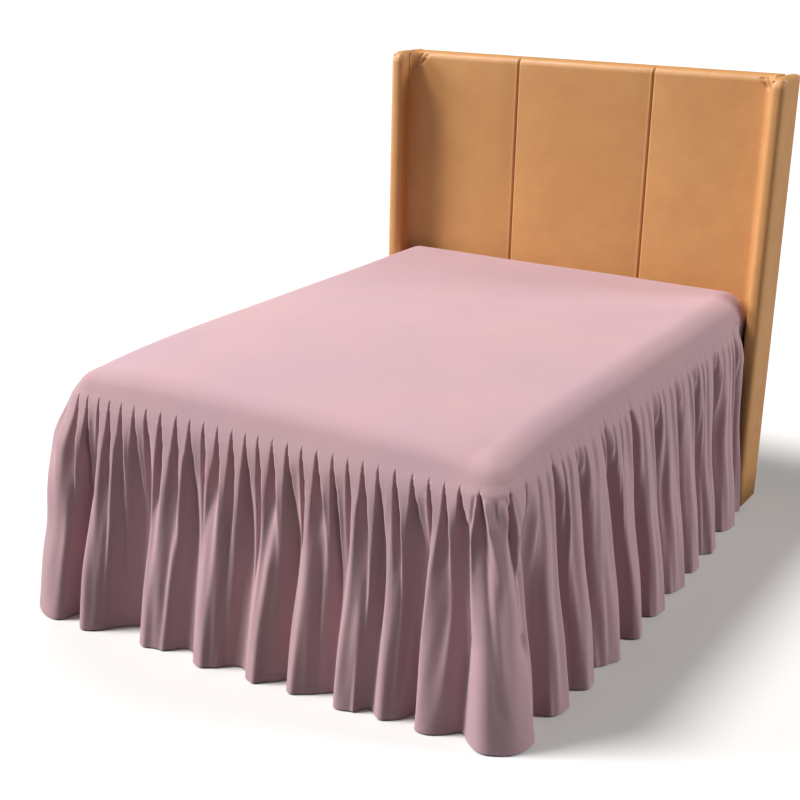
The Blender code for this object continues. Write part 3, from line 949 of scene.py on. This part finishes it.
def pleat_depth(across, height):
    """Short pleats in the leather where it turns into the wing, measured from the wing."""
    depth = np.zeros_like(across)
    for pleat in PLEATS:
        start = np.array([pleat.across, pleat.high])
        way = np.array([pleat.low_across - pleat.across, pleat.low - pleat.high])
        length = np.linalg.norm(way)
        offset = np.stack([across, height], axis=1) - start
        share = offset @ way / length ** 2
        aside = np.abs(offset[:, 0] * way[1] - offset[:, 1] * way[0]) / length
        depth += pleat.depth * window(share, *PLEAT_WINDOW) * np.exp(-(aside / pleat.width) ** 2)
    return depth


def swell_of_section(x, z, left, right, wing_side):
    """How far a section's leather stands out in front of its board."""
    from_left = x - left
    from_right = right - x
    width = right - left
    out = PUFF * (1 - np.abs(2 * from_left / width - 1) ** 3)
    if wing_side:
        from_wing = from_left if wing_side < 0 else from_right
        near_wing = smooth_step(1 - 2 * from_wing / width)
        out = np.where(from_wing < width / 2, PUFF * (1 - WING_PUFF_LOSS * near_wing), out)
        inside = np.clip(COVE - from_wing, 0, COVE)
        out += COVE - np.sqrt(COVE ** 2 - inside ** 2)
        out -= pleat_depth(from_wing, z)
    if wing_side >= 0:
        out -= SEAM_DEPTH * (1 - smooth_step(from_left / SEAM_REACH))
    if wing_side <= 0:
        out -= WELT_SEAM_DEPTH * (1 - smooth_step(from_right / SEAM_REACH))
        out += WELT_HEIGHT * window(from_right, *WELT_WINDOW)
    return out


cove_reach = COVE + PUFF * (1 - WING_PUFF_LOSS)
print(f"the leather stands out {1000 * PUFF:.0f} mm, and up to {1000 * cove_reach:.0f} mm in the cove")

# %% [markdown]
# A shape only shows where there are grid lines to carry it.  So the lines are dense at the seams, in
# the cove and at the rounded top, and there are few where the bed hides the leather.

# %% Build the three sections
SHOWN_FROM = 0.60
TOP_DENSE = 0.10
COVE_LINES = COVE * (1 - np.cos(np.linspace(0, math.pi / 2, 13)))
SEAM_LINES = np.array([0, 0.0008, 0.002, 0.0035, 0.0055, 0.008, 0.010, 0.012, 0.014, 0.016, 0.020])
DEPTH_LINES = np.array([0, 0.08, 0.17, 0.27, 0.4, 0.6, 0.74, 0.84, 0.92, 1.0])
HEIGHT_LINES = np.concatenate([np.linspace(0, SHOWN_FROM, 6),
                               np.linspace(SHOWN_FROM, PANEL_TOP - TOP_DENSE, 40)[1:],
                               np.linspace(PANEL_TOP - TOP_DENSE, PANEL_TOP, 42)[1:]])
MIDDLE_LINES = 46
SEAM_GAP = 0.0005
WING_GAP = 0.0004


def section_lines(left, right, wing_side):
    """Grid lines across a section."""
    near_left = left + (COVE_LINES if wing_side < 0 else SEAM_LINES)
    near_right = right - (COVE_LINES if wing_side > 0 else SEAM_LINES)
    middle = np.linspace(near_left[-1], near_right[-1], MIDDLE_LINES)[1:-1]
    return np.concatenate([near_left, middle, near_right[::-1]])


def build_section(name, left, right, wing_side):
    """One leather section between two seams, or between a seam and a wing."""
    def shape(x, depth, z):
        front = PANEL_FRONT - swell_of_section(x, z, left, right, wing_side)
        y = front + depth * (PANEL_BACK - front)
        core_y = np.clip(y, front + TOP_ROUNDING, PANEL_BACK - TOP_ROUNDING)
        core_z = np.minimum(z, PANEL_TOP - TOP_ROUNDING)
        away = np.maximum(np.hypot(y - core_y, z - core_z), 1e-9)
        rounded = (z > PANEL_TOP - TOP_ROUNDING) & (away > 1e-6)
        reach = np.maximum(np.abs(y - core_y), np.abs(z - core_z))
        scale = np.where(rounded, reach / away, 1.0)
        y = core_y + (y - core_y) * scale
        z = core_z + (z - core_z) * scale
        return np.stack([x, y, z], axis=1)

    return shaped_block(name, (section_lines(left, right, wing_side), DEPTH_LINES, HEIGHT_LINES), shape)


SECTIONS = (
    ("headboard_left", WING_GAP - WING_INNER, -SEAM_X - SEAM_GAP, -1),
    ("headboard_middle", -SEAM_X, SEAM_X, 0),
    ("headboard_right", SEAM_X + SEAM_GAP, WING_INNER - WING_GAP, 1),
)
sections = [(build_section(node + "_leather", left, right, wing), node)
            for node, left, right, wing in SECTIONS]
print("leather sections:", {piece.name: len(piece.data.polygons) for piece, node in sections})

# %% [markdown]
# A wing is narrower and rounder.  Its rim is a full half round, its upper front corner a wide bend.
# The block's square outline is first bent to that corner, and then every point near the rim slides
# onto a quarter circle.

# %% The leather wings
WING_RIM = 0.022
WING_CORNER = 0.040
WING_WIDTH = WING_OUTER - WING_INNER
WING_DEPTH = PANEL_BACK - WING_FRONT
FRONT_DENSE = 0.06
RIM_LINES = WING_RIM * (1 - np.cos(np.linspace(0, math.pi / 2, 8)))
WING_ACROSS = np.concatenate([RIM_LINES, np.linspace(WING_RIM, WING_WIDTH - WING_RIM, 3)[1:-1],
                              (WING_WIDTH - RIM_LINES)[::-1]])
WING_BACKWARDS = np.concatenate([np.linspace(0, FRONT_DENSE, 16),
                                 np.linspace(FRONT_DENSE, WING_DEPTH - WING_RIM, 9)[1:],
                                 np.linspace(WING_DEPTH - WING_RIM, WING_DEPTH, 8)[1:]])


def squared_to_round(x, y, core_x, core_y):
    """Slide points of a square corner onto the circle that fits inside it."""
    dx, dy = x - core_x, y - core_y
    away = np.maximum(np.hypot(dx, dy), 1e-9)
    scale = np.maximum(np.abs(dx), np.abs(dy)) / away
    return core_x + dx * scale, core_y + dy * scale


def in_corner(y, z):
    """How far a point is inside the square of the wing's upper front corner, from two sides."""
    in_front = np.clip(WING_CORNER - y, 0, None)
    above = np.clip(z - (PANEL_TOP - WING_CORNER), 0, None)
    return in_front, above, (in_front > 0) & (above > 0)


def wing_points(x, y, z):
    """Round the rim of a square block that starts at the wing's inner front edge."""
    from_back = WING_DEPTH - y
    from_top = PANEL_TOP - z
    in_front, above, at_corner = in_corner(y, z)
    to_rim = np.where(at_corner, WING_CORNER - np.maximum(in_front, above),
                      np.minimum(np.minimum(y, from_top), from_back))
    core_x = np.clip(x, WING_RIM, WING_WIDTH - WING_RIM)
    inside = np.minimum(to_rim, WING_RIM)
    round_x, round_in = squared_to_round(x, WING_RIM - inside, core_x, 0.0)
    near_rim = (to_rim < WING_RIM) & (np.abs(x - core_x) > 0)
    x = np.where(near_rim, round_x, x)
    moved = np.where(near_rim, WING_RIM - round_in - inside, 0.0)
    to_front = np.where(at_corner, in_front >= above, y <= np.minimum(from_top, from_back))
    to_back = ~at_corner & (from_back < np.minimum(y, from_top))
    y = y + moved * to_front - moved * to_back
    z = z - moved * (~to_back & ~to_front)
    at_corner = in_corner(y, z)[2]
    round_y, round_z = squared_to_round(y, z, WING_CORNER, PANEL_TOP - WING_CORNER)
    y = np.where(at_corner, round_y, y)
    z = np.where(at_corner, round_z, z)
    return np.clip(x, 0, WING_WIDTH), y, z


def build_wing(name, side):
    """One wing of the headboard; side is -1 on the left and 1 on the right."""
    def shape(x, y, z):
        x, y, z = wing_points(x, y, z)
        return np.stack([side * (WING_INNER + x), WING_FRONT + y, z], axis=1)

    piece = shaped_block(name, (WING_ACROSS, WING_BACKWARDS, HEIGHT_LINES), shape)
    if side < 0:
        piece.data.flip_normals()
    return piece


wings = [(build_wing("wing_left_leather", -1), "wing_left"),
         (build_wing("wing_right_leather", 1), "wing_right")]
print("wings:", {piece.name: len(piece.data.polygons) for piece, node in wings})

# %% [markdown]
# ## Materials
#
# Two effects are shared by several materials, so each is a node group: a weave with its threads,
# and a leather grain.  The groups give only masks and values.  Colour and light stay with each
# material's own Principled shader.

# %% Helpers for nodes
def new_group(name, inputs, outputs):
    """A shader node group with named value sockets."""
    tree = bpy.data.node_groups.new(name, "ShaderNodeTree")
    for socket, kind, default in inputs:
        made = tree.interface.new_socket(socket, in_out="INPUT", socket_type=kind)
        if default is not None:
            made.default_value = default
    for socket, kind in outputs:
        tree.interface.new_socket(socket, in_out="OUTPUT", socket_type=kind)
    return tree, tree.nodes.new("NodeGroupInput"), tree.nodes.new("NodeGroupOutput")


def add_node(tree, kind, values=None, **settings):
    """A node with its settings, and its inputs set or linked."""
    made = tree.nodes.new(kind)
    for key, value in settings.items():
        setattr(made, key, value)
    for key, value in (values or {}).items():
        if isinstance(value, bpy.types.NodeSocket):
            tree.links.new(value, made.inputs[key])
        else:
            made.inputs[key].default_value = value
    return made


def maths(tree, operation, first, second=0.0, third=0.0):
    """The result of one Math node."""
    values = {0: first, 1: second, 2: third}
    return add_node(tree, "ShaderNodeMath", values, operation=operation).outputs[0]


def noise(tree, place, scale, detail=2.0, roughness=0.5):
    """The value of a Noise texture."""
    values = {"Vector": place, "Scale": scale, "Detail": detail, "Roughness": roughness}
    return add_node(tree, "ShaderNodeTexNoise", values).outputs["Fac"]


def between(tree, value, low, high, to_low=0.0, to_high=1.0):
    """A value mapped from one range to another, and held inside it."""
    values = {"Value": value, "From Min": low, "From Max": high, "To Min": to_low, "To Max": to_high}
    return add_node(tree, "ShaderNodeMapRange", values).outputs[0]


def blend_colours(tree, share, first, second):
    """Two colours mixed."""
    made = add_node(tree, "ShaderNodeMix", {0: share, 6: first, 7: second}, data_type="RGBA")
    return made.outputs[2]


# %% [markdown]
# The weave is two crossing waves on the flat cloth's place, bent a little by noise so that no thread
# is straight.  The leather grain is a pattern of small cells whose edges are the pores.

# %% The weave and the leather grain
THREAD_WOBBLE = 5.0
CELL_BEND = 0.003
PORE_REACH = 0.22


def weave_group():
    """Crossing threads from the flat cloth's place in metres."""
    inputs = (("Place", "NodeSocketVector", None), ("Threads per metre", "NodeSocketFloat", 1500.0))
    outputs = (("Height", "NodeSocketFloat"), ("Nap", "NodeSocketFloat"))
    tree, given, result = new_group("weave", inputs, outputs)
    place = given.outputs["Place"]
    parts = add_node(tree, "ShaderNodeSeparateXYZ", {0: place})
    turn = maths(tree, "MULTIPLY", given.outputs["Threads per metre"], math.pi)
    wobble = noise(tree, place, 90.0)
    waves = []
    for way in ("X", "Y"):
        phase = maths(tree, "MULTIPLY_ADD", parts.outputs[way], turn,
                      maths(tree, "MULTIPLY", wobble, THREAD_WOBBLE))
        waves.append(maths(tree, "ABSOLUTE", maths(tree, "SINE", phase)))
    threads = maths(tree, "MULTIPLY", waves[0], waves[1])
    nap = noise(tree, place, 900.0, 3.0, 0.65)
    tree.links.new(maths(tree, "MULTIPLY_ADD", nap, 0.5, threads), result.inputs["Height"])
    tree.links.new(nap, result.inputs["Nap"])
    return tree


def grain_group():
    """Pebbled leather grain and the pores between the pebbles."""
    inputs = (("Place", "NodeSocketVector", None), ("Pebbles per metre", "NodeSocketFloat", 520.0))
    outputs = (("Height", "NodeSocketFloat"), ("Pores", "NodeSocketFloat"))
    tree, given, result = new_group("leather_grain", inputs, outputs)
    place = given.outputs["Place"]
    bend = add_node(tree, "ShaderNodeTexNoise", {"Vector": place, "Scale": 160.0, "Detail": 2.0})
    moved = add_node(tree, "ShaderNodeVectorMath", {0: bend.outputs["Color"], 1: (CELL_BEND,) * 3},
                     operation="MULTIPLY")
    placed = add_node(tree, "ShaderNodeVectorMath", {0: place, 1: moved.outputs[0]}, operation="ADD")
    cells = add_node(tree, "ShaderNodeTexVoronoi",
                     {"Vector": placed.outputs[0], "Scale": given.outputs["Pebbles per metre"]},
                     feature="DISTANCE_TO_EDGE")
    pores = between(tree, cells.outputs["Distance"], 0.0, PORE_REACH)
    fine = noise(tree, place, 1400.0, 2.0)
    tree.links.new(maths(tree, "MULTIPLY_ADD", fine, 0.25, pores), result.inputs["Height"])
    tree.links.new(pores, result.inputs["Pores"])
    return tree


WEAVE = weave_group()
GRAIN = grain_group()
print("shared groups:", WEAVE.name, GRAIN.name)

# %% [markdown]
# The cloth is a brushed, closely woven plain pink.  It is matt, with a soft sheen where the nap is
# seen edge on.  Two things keep it from looking like plaster: the colour wanders a little, as dyed
# cloth does, and faint creases from its packing cross it.  A sewn line follows the hem.

# %% Pink cloth
PINK = (0.500, 0.322, 0.356, 1.0)
PINK_WARM = (0.515, 0.328, 0.352, 1.0)
PINK_COOL = (0.478, 0.314, 0.356, 1.0)
PINK_THREAD = (0.58, 0.385, 0.42, 1.0)
PINK_STITCH = (0.26, 0.15, 0.17, 1.0)
CLOTH_THREADS = 1500.0
HEM_TURNUP = 0.020
STITCH_LENGTH = 0.0032


def new_material(name, roughness):
    """A material with its Principled shader and its tree."""
    material = bpy.data.materials.new(name)
    material.use_nodes = True
    shader = material.node_tree.nodes["Principled BSDF"]
    shader.inputs["Roughness"].default_value = roughness
    return material, material.node_tree, shader


def bump(tree, height, strength, distance, before=None):
    """A Bump node, on top of another one if given."""
    values = {"Height": height, "Strength": strength, "Distance": distance}
    if before is not None:
        values["Normal"] = before
    return add_node(tree, "ShaderNodeBump", values).outputs[0]


def object_place(tree):
    """The place on the object, in metres."""
    return add_node(tree, "ShaderNodeTexCoord").outputs["Object"]


def woven(tree, place, threads):
    """The weave group's node, with its threads per metre."""
    return add_node(tree, "ShaderNodeGroup", {"Place": place, "Threads per metre": threads},
                    node_tree=WEAVE)


def sewn_hem(tree, uv, colour, normal):
    """The turn-up and the line of stitches at the bottom of the ruffle."""
    parts = add_node(tree, "ShaderNodeSeparateXYZ", {0: uv})
    from_hem = maths(tree, "ADD", parts.outputs["Y"], RUFFLE_DROP)
    off_line = maths(tree, "ABSOLUTE", maths(tree, "SUBTRACT", from_hem, HEM_TURNUP))
    line = between(tree, off_line, 0.0003, 0.0012, 1.0, 0.0)
    dash = maths(tree, "SINE", maths(tree, "MULTIPLY", parts.outputs["X"], 2 * math.pi / STITCH_LENGTH))
    stitches = maths(tree, "MULTIPLY", line, between(tree, dash, -0.4, 0.2))
    turnup = between(tree, from_hem, HEM_TURNUP - 0.001, HEM_TURNUP + 0.001, 1.0, 0.0)
    relief = maths(tree, "MULTIPLY_ADD", stitches, -0.8, turnup)
    normal = bump(tree, relief, 0.6, 0.0009, normal)
    return blend_colours(tree, maths(tree, "MULTIPLY", stitches, 0.45), colour, PINK_STITCH), normal


def make_cloth(name, hem):
    """Pink brushed cloth; hem adds the sewn turn-up at the bottom of the ruffle."""
    material, tree, shader = new_material(name, 0.82)
    uv = add_node(tree, "ShaderNodeUVMap", uv_map="flat").outputs[0]
    body = object_place(tree)
    weave = woven(tree, uv, CLOTH_THREADS)
    wander = noise(tree, body, 3.2, 2.0, 0.45)
    fine = noise(tree, uv, 38.0, 3.0, 0.6)
    colour = blend_colours(tree, between(tree, wander, 0.35, 0.65), PINK_COOL, PINK_WARM)
    colour = blend_colours(tree, between(tree, fine, 0.3, 0.7, 0.0, 0.35), colour, PINK)
    thread = between(tree, weave.outputs["Height"], 0.2, 1.0, 0.0, 0.10)
    colour = blend_colours(tree, thread, colour, PINK_THREAD)
    crumple = maths(tree, "MULTIPLY_ADD", noise(tree, body, 7.0, 3.0, 0.5), 1.0,
                    maths(tree, "MULTIPLY", noise(tree, body, 38.0, 3.0, 0.6), 0.12))
    normal = bump(tree, crumple, 0.35, 0.010)
    normal = bump(tree, weave.outputs["Height"], 0.28, 0.0004, normal)
    if hem:
        colour, normal = sewn_hem(tree, uv, colour, normal)
    tree.links.new(colour, shader.inputs["Base Color"])
    tree.links.new(between(tree, weave.outputs["Nap"], 0.2, 0.8, 0.74, 0.92), shader.inputs["Roughness"])
    tree.links.new(normal, shader.inputs["Normal"])
    shader.inputs["Sheen Weight"].default_value = 0.15
    shader.inputs["Sheen Roughness"].default_value = 0.45
    shader.inputs["Sheen Tint"].default_value = (1.0, 0.90, 0.92, 1.0)
    shader.inputs["Specular IOR Level"].default_value = 0.22
    return material


deck_material = make_cloth("pink_cloth_deck", hem=False)
ruffle_material = make_cloth("pink_cloth_ruffle", hem=True)
print("cloth:", deck_material.name, ruffle_material.name)

# %% [markdown]
# The leather is a smooth tan hide with a fine pebbled grain.  Its colour wanders from golden to
# brown, the pores are darker, and a thin clear finish gives it a soft, broken gloss.

# %% Tan leather
TAN = (0.620, 0.305, 0.105, 1.0)
TAN_GOLD = (0.680, 0.350, 0.125, 1.0)
TAN_DEEP = (0.490, 0.215, 0.070, 1.0)
PEBBLES = 520.0


def make_leather(name):
    """Tan leather."""
    material, tree, shader = new_material(name, 0.44)
    body = object_place(tree)
    grain = add_node(tree, "ShaderNodeGroup", {"Place": body, "Pebbles per metre": PEBBLES},
                     node_tree=GRAIN)
    wander = noise(tree, body, 2.6, 3.0, 0.5)
    cloudy = noise(tree, body, 11.0, 4.0, 0.6)
    colour = blend_colours(tree, between(tree, wander, 0.35, 0.68), TAN, TAN_GOLD)
    colour = blend_colours(tree, between(tree, cloudy, 0.35, 0.75, 0.0, 0.35), colour, TAN_DEEP)
    in_pores = between(tree, grain.outputs["Pores"], 0.0, 0.6, 0.30, 0.0)
    colour = blend_colours(tree, in_pores, colour, TAN_DEEP)
    normal = bump(tree, noise(tree, body, 14.0, 3.0, 0.5), 0.18, 0.006)
    normal = bump(tree, grain.outputs["Height"], 0.30, 0.0006, normal)
    tree.links.new(colour, shader.inputs["Base Color"])
    tree.links.new(between(tree, cloudy, 0.3, 0.7, 0.38, 0.52), shader.inputs["Roughness"])
    tree.links.new(normal, shader.inputs["Normal"])
    shader.inputs["Coat Weight"].default_value = 0.12
    shader.inputs["Coat Roughness"].default_value = 0.35
    return material


leather_material = make_leather("tan_leather")
print("leather:", leather_material.name)

# %% [markdown]
# The hidden parts get honest materials too: striped ticking on the mattress, dark cloth on the
# base, and black plastic on the legs.

# %% What the skirt hides
STRIPE_STEP = 0.035
TICKING_WHITE = (0.72, 0.70, 0.66, 1.0)
TICKING_STRIPE = (0.46, 0.48, 0.52, 1.0)
BASE_DARK = (0.16, 0.15, 0.14, 1.0)
BASE_LIGHT = (0.27, 0.25, 0.23, 1.0)
LEG_BLACK = (0.022, 0.022, 0.023, 1.0)
LEG_SPARK = (0.038, 0.038, 0.038, 1.0)


def make_ticking():
    """Off-white ticking with thin woven stripes."""
    material, tree, shader = new_material("mattress_ticking", 0.88)
    body = object_place(tree)
    parts = add_node(tree, "ShaderNodeSeparateXYZ", {0: body})
    stripe = maths(tree, "SINE", maths(tree, "MULTIPLY", parts.outputs["X"], 2 * math.pi / STRIPE_STEP))
    mask = between(tree, stripe, 0.80, 0.90)
    colour = blend_colours(tree, mask, TICKING_WHITE, TICKING_STRIPE)
    weave = woven(tree, body, 1000.0)
    tree.links.new(colour, shader.inputs["Base Color"])
    tree.links.new(bump(tree, weave.outputs["Height"], 0.4, 0.0005), shader.inputs["Normal"])
    return material


def make_base_cloth():
    """Dark woven cloth."""
    material, tree, shader = new_material("base_dark_cloth", 0.9)
    weave = woven(tree, object_place(tree), 700.0)
    share = between(tree, weave.outputs["Height"], 0.2, 1.1)
    colour = blend_colours(tree, share, BASE_DARK, BASE_LIGHT)
    tree.links.new(colour, shader.inputs["Base Color"])
    tree.links.new(bump(tree, weave.outputs["Height"], 0.5, 0.0007), shader.inputs["Normal"])
    return material


def make_leg_plastic():
    """Black moulded plastic with a fine spark texture."""
    material, tree, shader = new_material("leg_black_plastic", 0.5)
    speckle = noise(tree, object_place(tree), 900.0, 2.0)
    colour = blend_colours(tree, speckle, LEG_BLACK, LEG_SPARK)
    tree.links.new(colour, shader.inputs["Base Color"])
    tree.links.new(bump(tree, speckle, 0.2, 0.0003), shader.inputs["Normal"])
    return material


# %% [markdown]
# Each material goes on its pieces.  The solids that have no finer piece over them, the mattress, the
# base and the legs, are shown as they are and get their material here.

# %% Put the materials on
def dress(piece, material):
    """Give an object one material."""
    piece.data.materials.clear()
    piece.data.materials.append(material)


dress(deck, deck_material)
for strip, node, cut in ruffles:
    dress(strip, ruffle_material)
for piece, node in sections + wings:
    dress(piece, leather_material)
ticking, base_cloth, leg_plastic = make_ticking(), make_base_cloth(), make_leg_plastic()
for name, item in frame["nodes"].items():
    hidden = {"mattress": ticking, "bed_base": base_cloth}.get(name)
    if hidden or name.startswith("leg_"):
        item.material_slots[0].material = hidden or leg_plastic
print("materials:", len(bpy.data.materials))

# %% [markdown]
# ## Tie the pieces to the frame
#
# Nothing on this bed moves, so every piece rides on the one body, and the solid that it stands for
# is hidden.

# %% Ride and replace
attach(deck, "root")
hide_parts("deck")
for strip, node, cut in ruffles:
    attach(strip, "root")
    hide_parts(node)
for piece, node in sections + wings:
    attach(piece, "root")
    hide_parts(node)
print("pieces on the body:", 1 + len(ruffles) + len(sections) + len(wings))

# %% [markdown]
# ## Studio
#
# A plain pale floor in a bright, even surround.  The camera sees the floor as nearly white, but what
# the floor sends back to the cloth is that of a grey one, or the ruffle would glow from below.  The
# backdrop is bright to the camera alone for the same reason.  Both are done with Light Path's camera
# ray, in the floor's material and in the world.

# %% Floor and surround
FLOOR_SIDE = 120.0
FLOOR_BOUNCE = 0.20
FLOOR_SEEN = 0.80
SURROUND_STRENGTH = 0.08
BACKDROP = 0.93


def grey(value):
    """An opaque grey."""
    return (value, value, value, 1.0)


def make_floor():
    """A large pale floor."""
    bm = bmesh.new()
    bmesh.ops.create_grid(bm, x_segments=1, y_segments=1, size=FLOOR_SIDE / 2)
    floor = in_scene("studio_floor", mesh_of(bm, "studio_floor"))
    material, tree, shader = new_material("floor_paint", 0.9)
    shader.inputs["Base Color"].default_value = grey(FLOOR_BOUNCE)
    shader.inputs["Specular IOR Level"].default_value = 0.1
    seen = add_node(tree, "ShaderNodeBsdfDiffuse", {"Color": grey(FLOOR_SEEN)})
    by_camera = add_node(tree, "ShaderNodeLightPath").outputs["Is Camera Ray"]
    mix = add_node(tree, "ShaderNodeMixShader", {0: by_camera, 1: shader.outputs[0], 2: seen.outputs[0]})
    tree.links.new(mix.outputs[0], tree.nodes["Material Output"].inputs["Surface"])
    dress(floor, material)
    return floor


def make_world():
    """A faint even surround, with a bright backdrop for the camera."""
    world = bpy.data.worlds.new("studio")
    world.use_nodes = True
    tree = world.node_tree
    surround = tree.nodes["Background"]
    surround.inputs["Color"].default_value = grey(1.0)
    surround.inputs["Strength"].default_value = SURROUND_STRENGTH
    backdrop = add_node(tree, "ShaderNodeBackground", {"Color": grey(BACKDROP)})
    by_camera = add_node(tree, "ShaderNodeLightPath").outputs["Is Camera Ray"]
    either = add_node(tree, "ShaderNodeMixShader",
                      {0: by_camera, 1: surround.outputs[0], 2: backdrop.outputs[0]})
    tree.links.new(either.outputs[0], tree.nodes["World Output"].inputs["Surface"])
    bpy.context.scene.world = world


make_floor()
make_world()
bpy.context.scene.view_settings.view_transform = "Standard"
print(f"floor seen at {FLOOR_SEEN}, bouncing {FLOOR_BOUNCE}")

# %% [markdown]
# The light is soft and comes from the left, high and in front.  Suns with wide angles light the bed
# evenly and give soft shadows: the key from the upper left, a lower one that reaches into the foot's
# folds from the side, a fill from the right and behind, and a faint one from the front.  Three
# softboxes add what suns can't: a little more light on the left, on the right side's folds and on
# the leather.

# %% Lights
Sun = namedtuple("Sun", "name direction strength degrees colour")
Softbox = namedtuple("Softbox", "name place target watts")
WARM_WHITE = (1.0, 0.985, 0.965)
SOFT_WHITE = (1.0, 0.99, 0.98)
BOX_WHITE = (1.0, 0.99, 0.975)
BOX_SIDE = 1.2
SUNS = (
    Sun("key", (-0.7, -0.4, 1.15), 3.0, 16, WARM_WHITE),
    Sun("low_left", (-1.0, -0.45, 0.50), 1.7, 20, WARM_WHITE),
    Sun("fill", (1.0, 0.60, 0.70), 1.8, 24, SOFT_WHITE),
    Sun("front", (-0.35, -1.0, 0.45), 0.22, 30, SOFT_WHITE),
)
SOFTBOXES = (
    Softbox("softbox_left", (-2.3, 0.3, 1.6), (-0.2, 0.0, 0.75), 15.0),
    Softbox("softbox_right", (3.4, 1.3, 0.55), (0.85, -0.2, 0.4), 12.0),
    Softbox("softbox_front", (-1.2, -1.2, 2.6), (-0.2, 1.0, 1.1), 4.6),
)


def add_light(name, kind, direction, energy, colour):
    """A light that shines from a direction, and its data."""
    data = bpy.data.lights.new(name, kind)
    data.energy = energy
    data.color = colour
    light = in_scene(name, data)
    light.rotation_euler = Vector(direction).to_track_quat("Z", "Y").to_euler()
    return light, data


for sun in SUNS:
    light, data = add_light(sun.name, "SUN", sun.direction, sun.strength, sun.colour)
    data.angle = math.radians(sun.degrees)
for box in SOFTBOXES:
    towards = Vector(box.place) - Vector(box.target)
    light, data = add_light(box.name, "AREA", towards, box.watts, BOX_WHITE)
    data.shape = "SQUARE"
    data.size = BOX_SIDE
    light.location = box.place
print("lights:", len(SUNS), "suns and", len(SOFTBOXES), "softboxes")

# %% [markdown]
# The camera stands in front of the right foot corner, a little above the headboard, with a slightly
# long lens.  Its place, turn, tilt and roll were fitted to the edges of the bed in the picture.  The
# image is widened slightly, so that the whole headboard is in it.

# %% Camera
CAMERA_PLACE = (2.0387, -3.6750, 1.9038)
CAMERA_TURN = math.radians(31.227)
CAMERA_TILT = math.radians(18.549)
CAMERA_ROLL = math.radians(1.205)
IMAGE_SIDE = 800
FITTED_FOCAL = 1412.8
WIDENING = 0.975
SENSOR = 36.0
SHIFT_PIXELS = 8


def make_camera():
    """The camera at the picture's angle."""
    back = Vector((math.sin(CAMERA_TURN) * math.cos(CAMERA_TILT),
                   -math.cos(CAMERA_TURN) * math.cos(CAMERA_TILT), math.sin(CAMERA_TILT)))
    level_right = Vector((math.cos(CAMERA_TURN), math.sin(CAMERA_TURN), 0))
    level_up = level_right.cross(-back)
    right = level_right * math.cos(CAMERA_ROLL) + level_up * math.sin(CAMERA_ROLL)
    up = level_up * math.cos(CAMERA_ROLL) - level_right * math.sin(CAMERA_ROLL)
    data = bpy.data.cameras.new("camera")
    data.sensor_width = SENSOR
    data.lens = FITTED_FOCAL * WIDENING / IMAGE_SIDE * SENSOR
    data.shift_x = SHIFT_PIXELS / IMAGE_SIDE
    camera = in_scene("camera", data)
    turn = Matrix((right, up, back)).transposed().to_4x4()
    camera.matrix_world = Matrix.Translation(CAMERA_PLACE) @ turn
    return camera


bpy.context.scene.camera = make_camera()
print(f"lens {bpy.context.scene.camera.data.lens:.1f} mm")
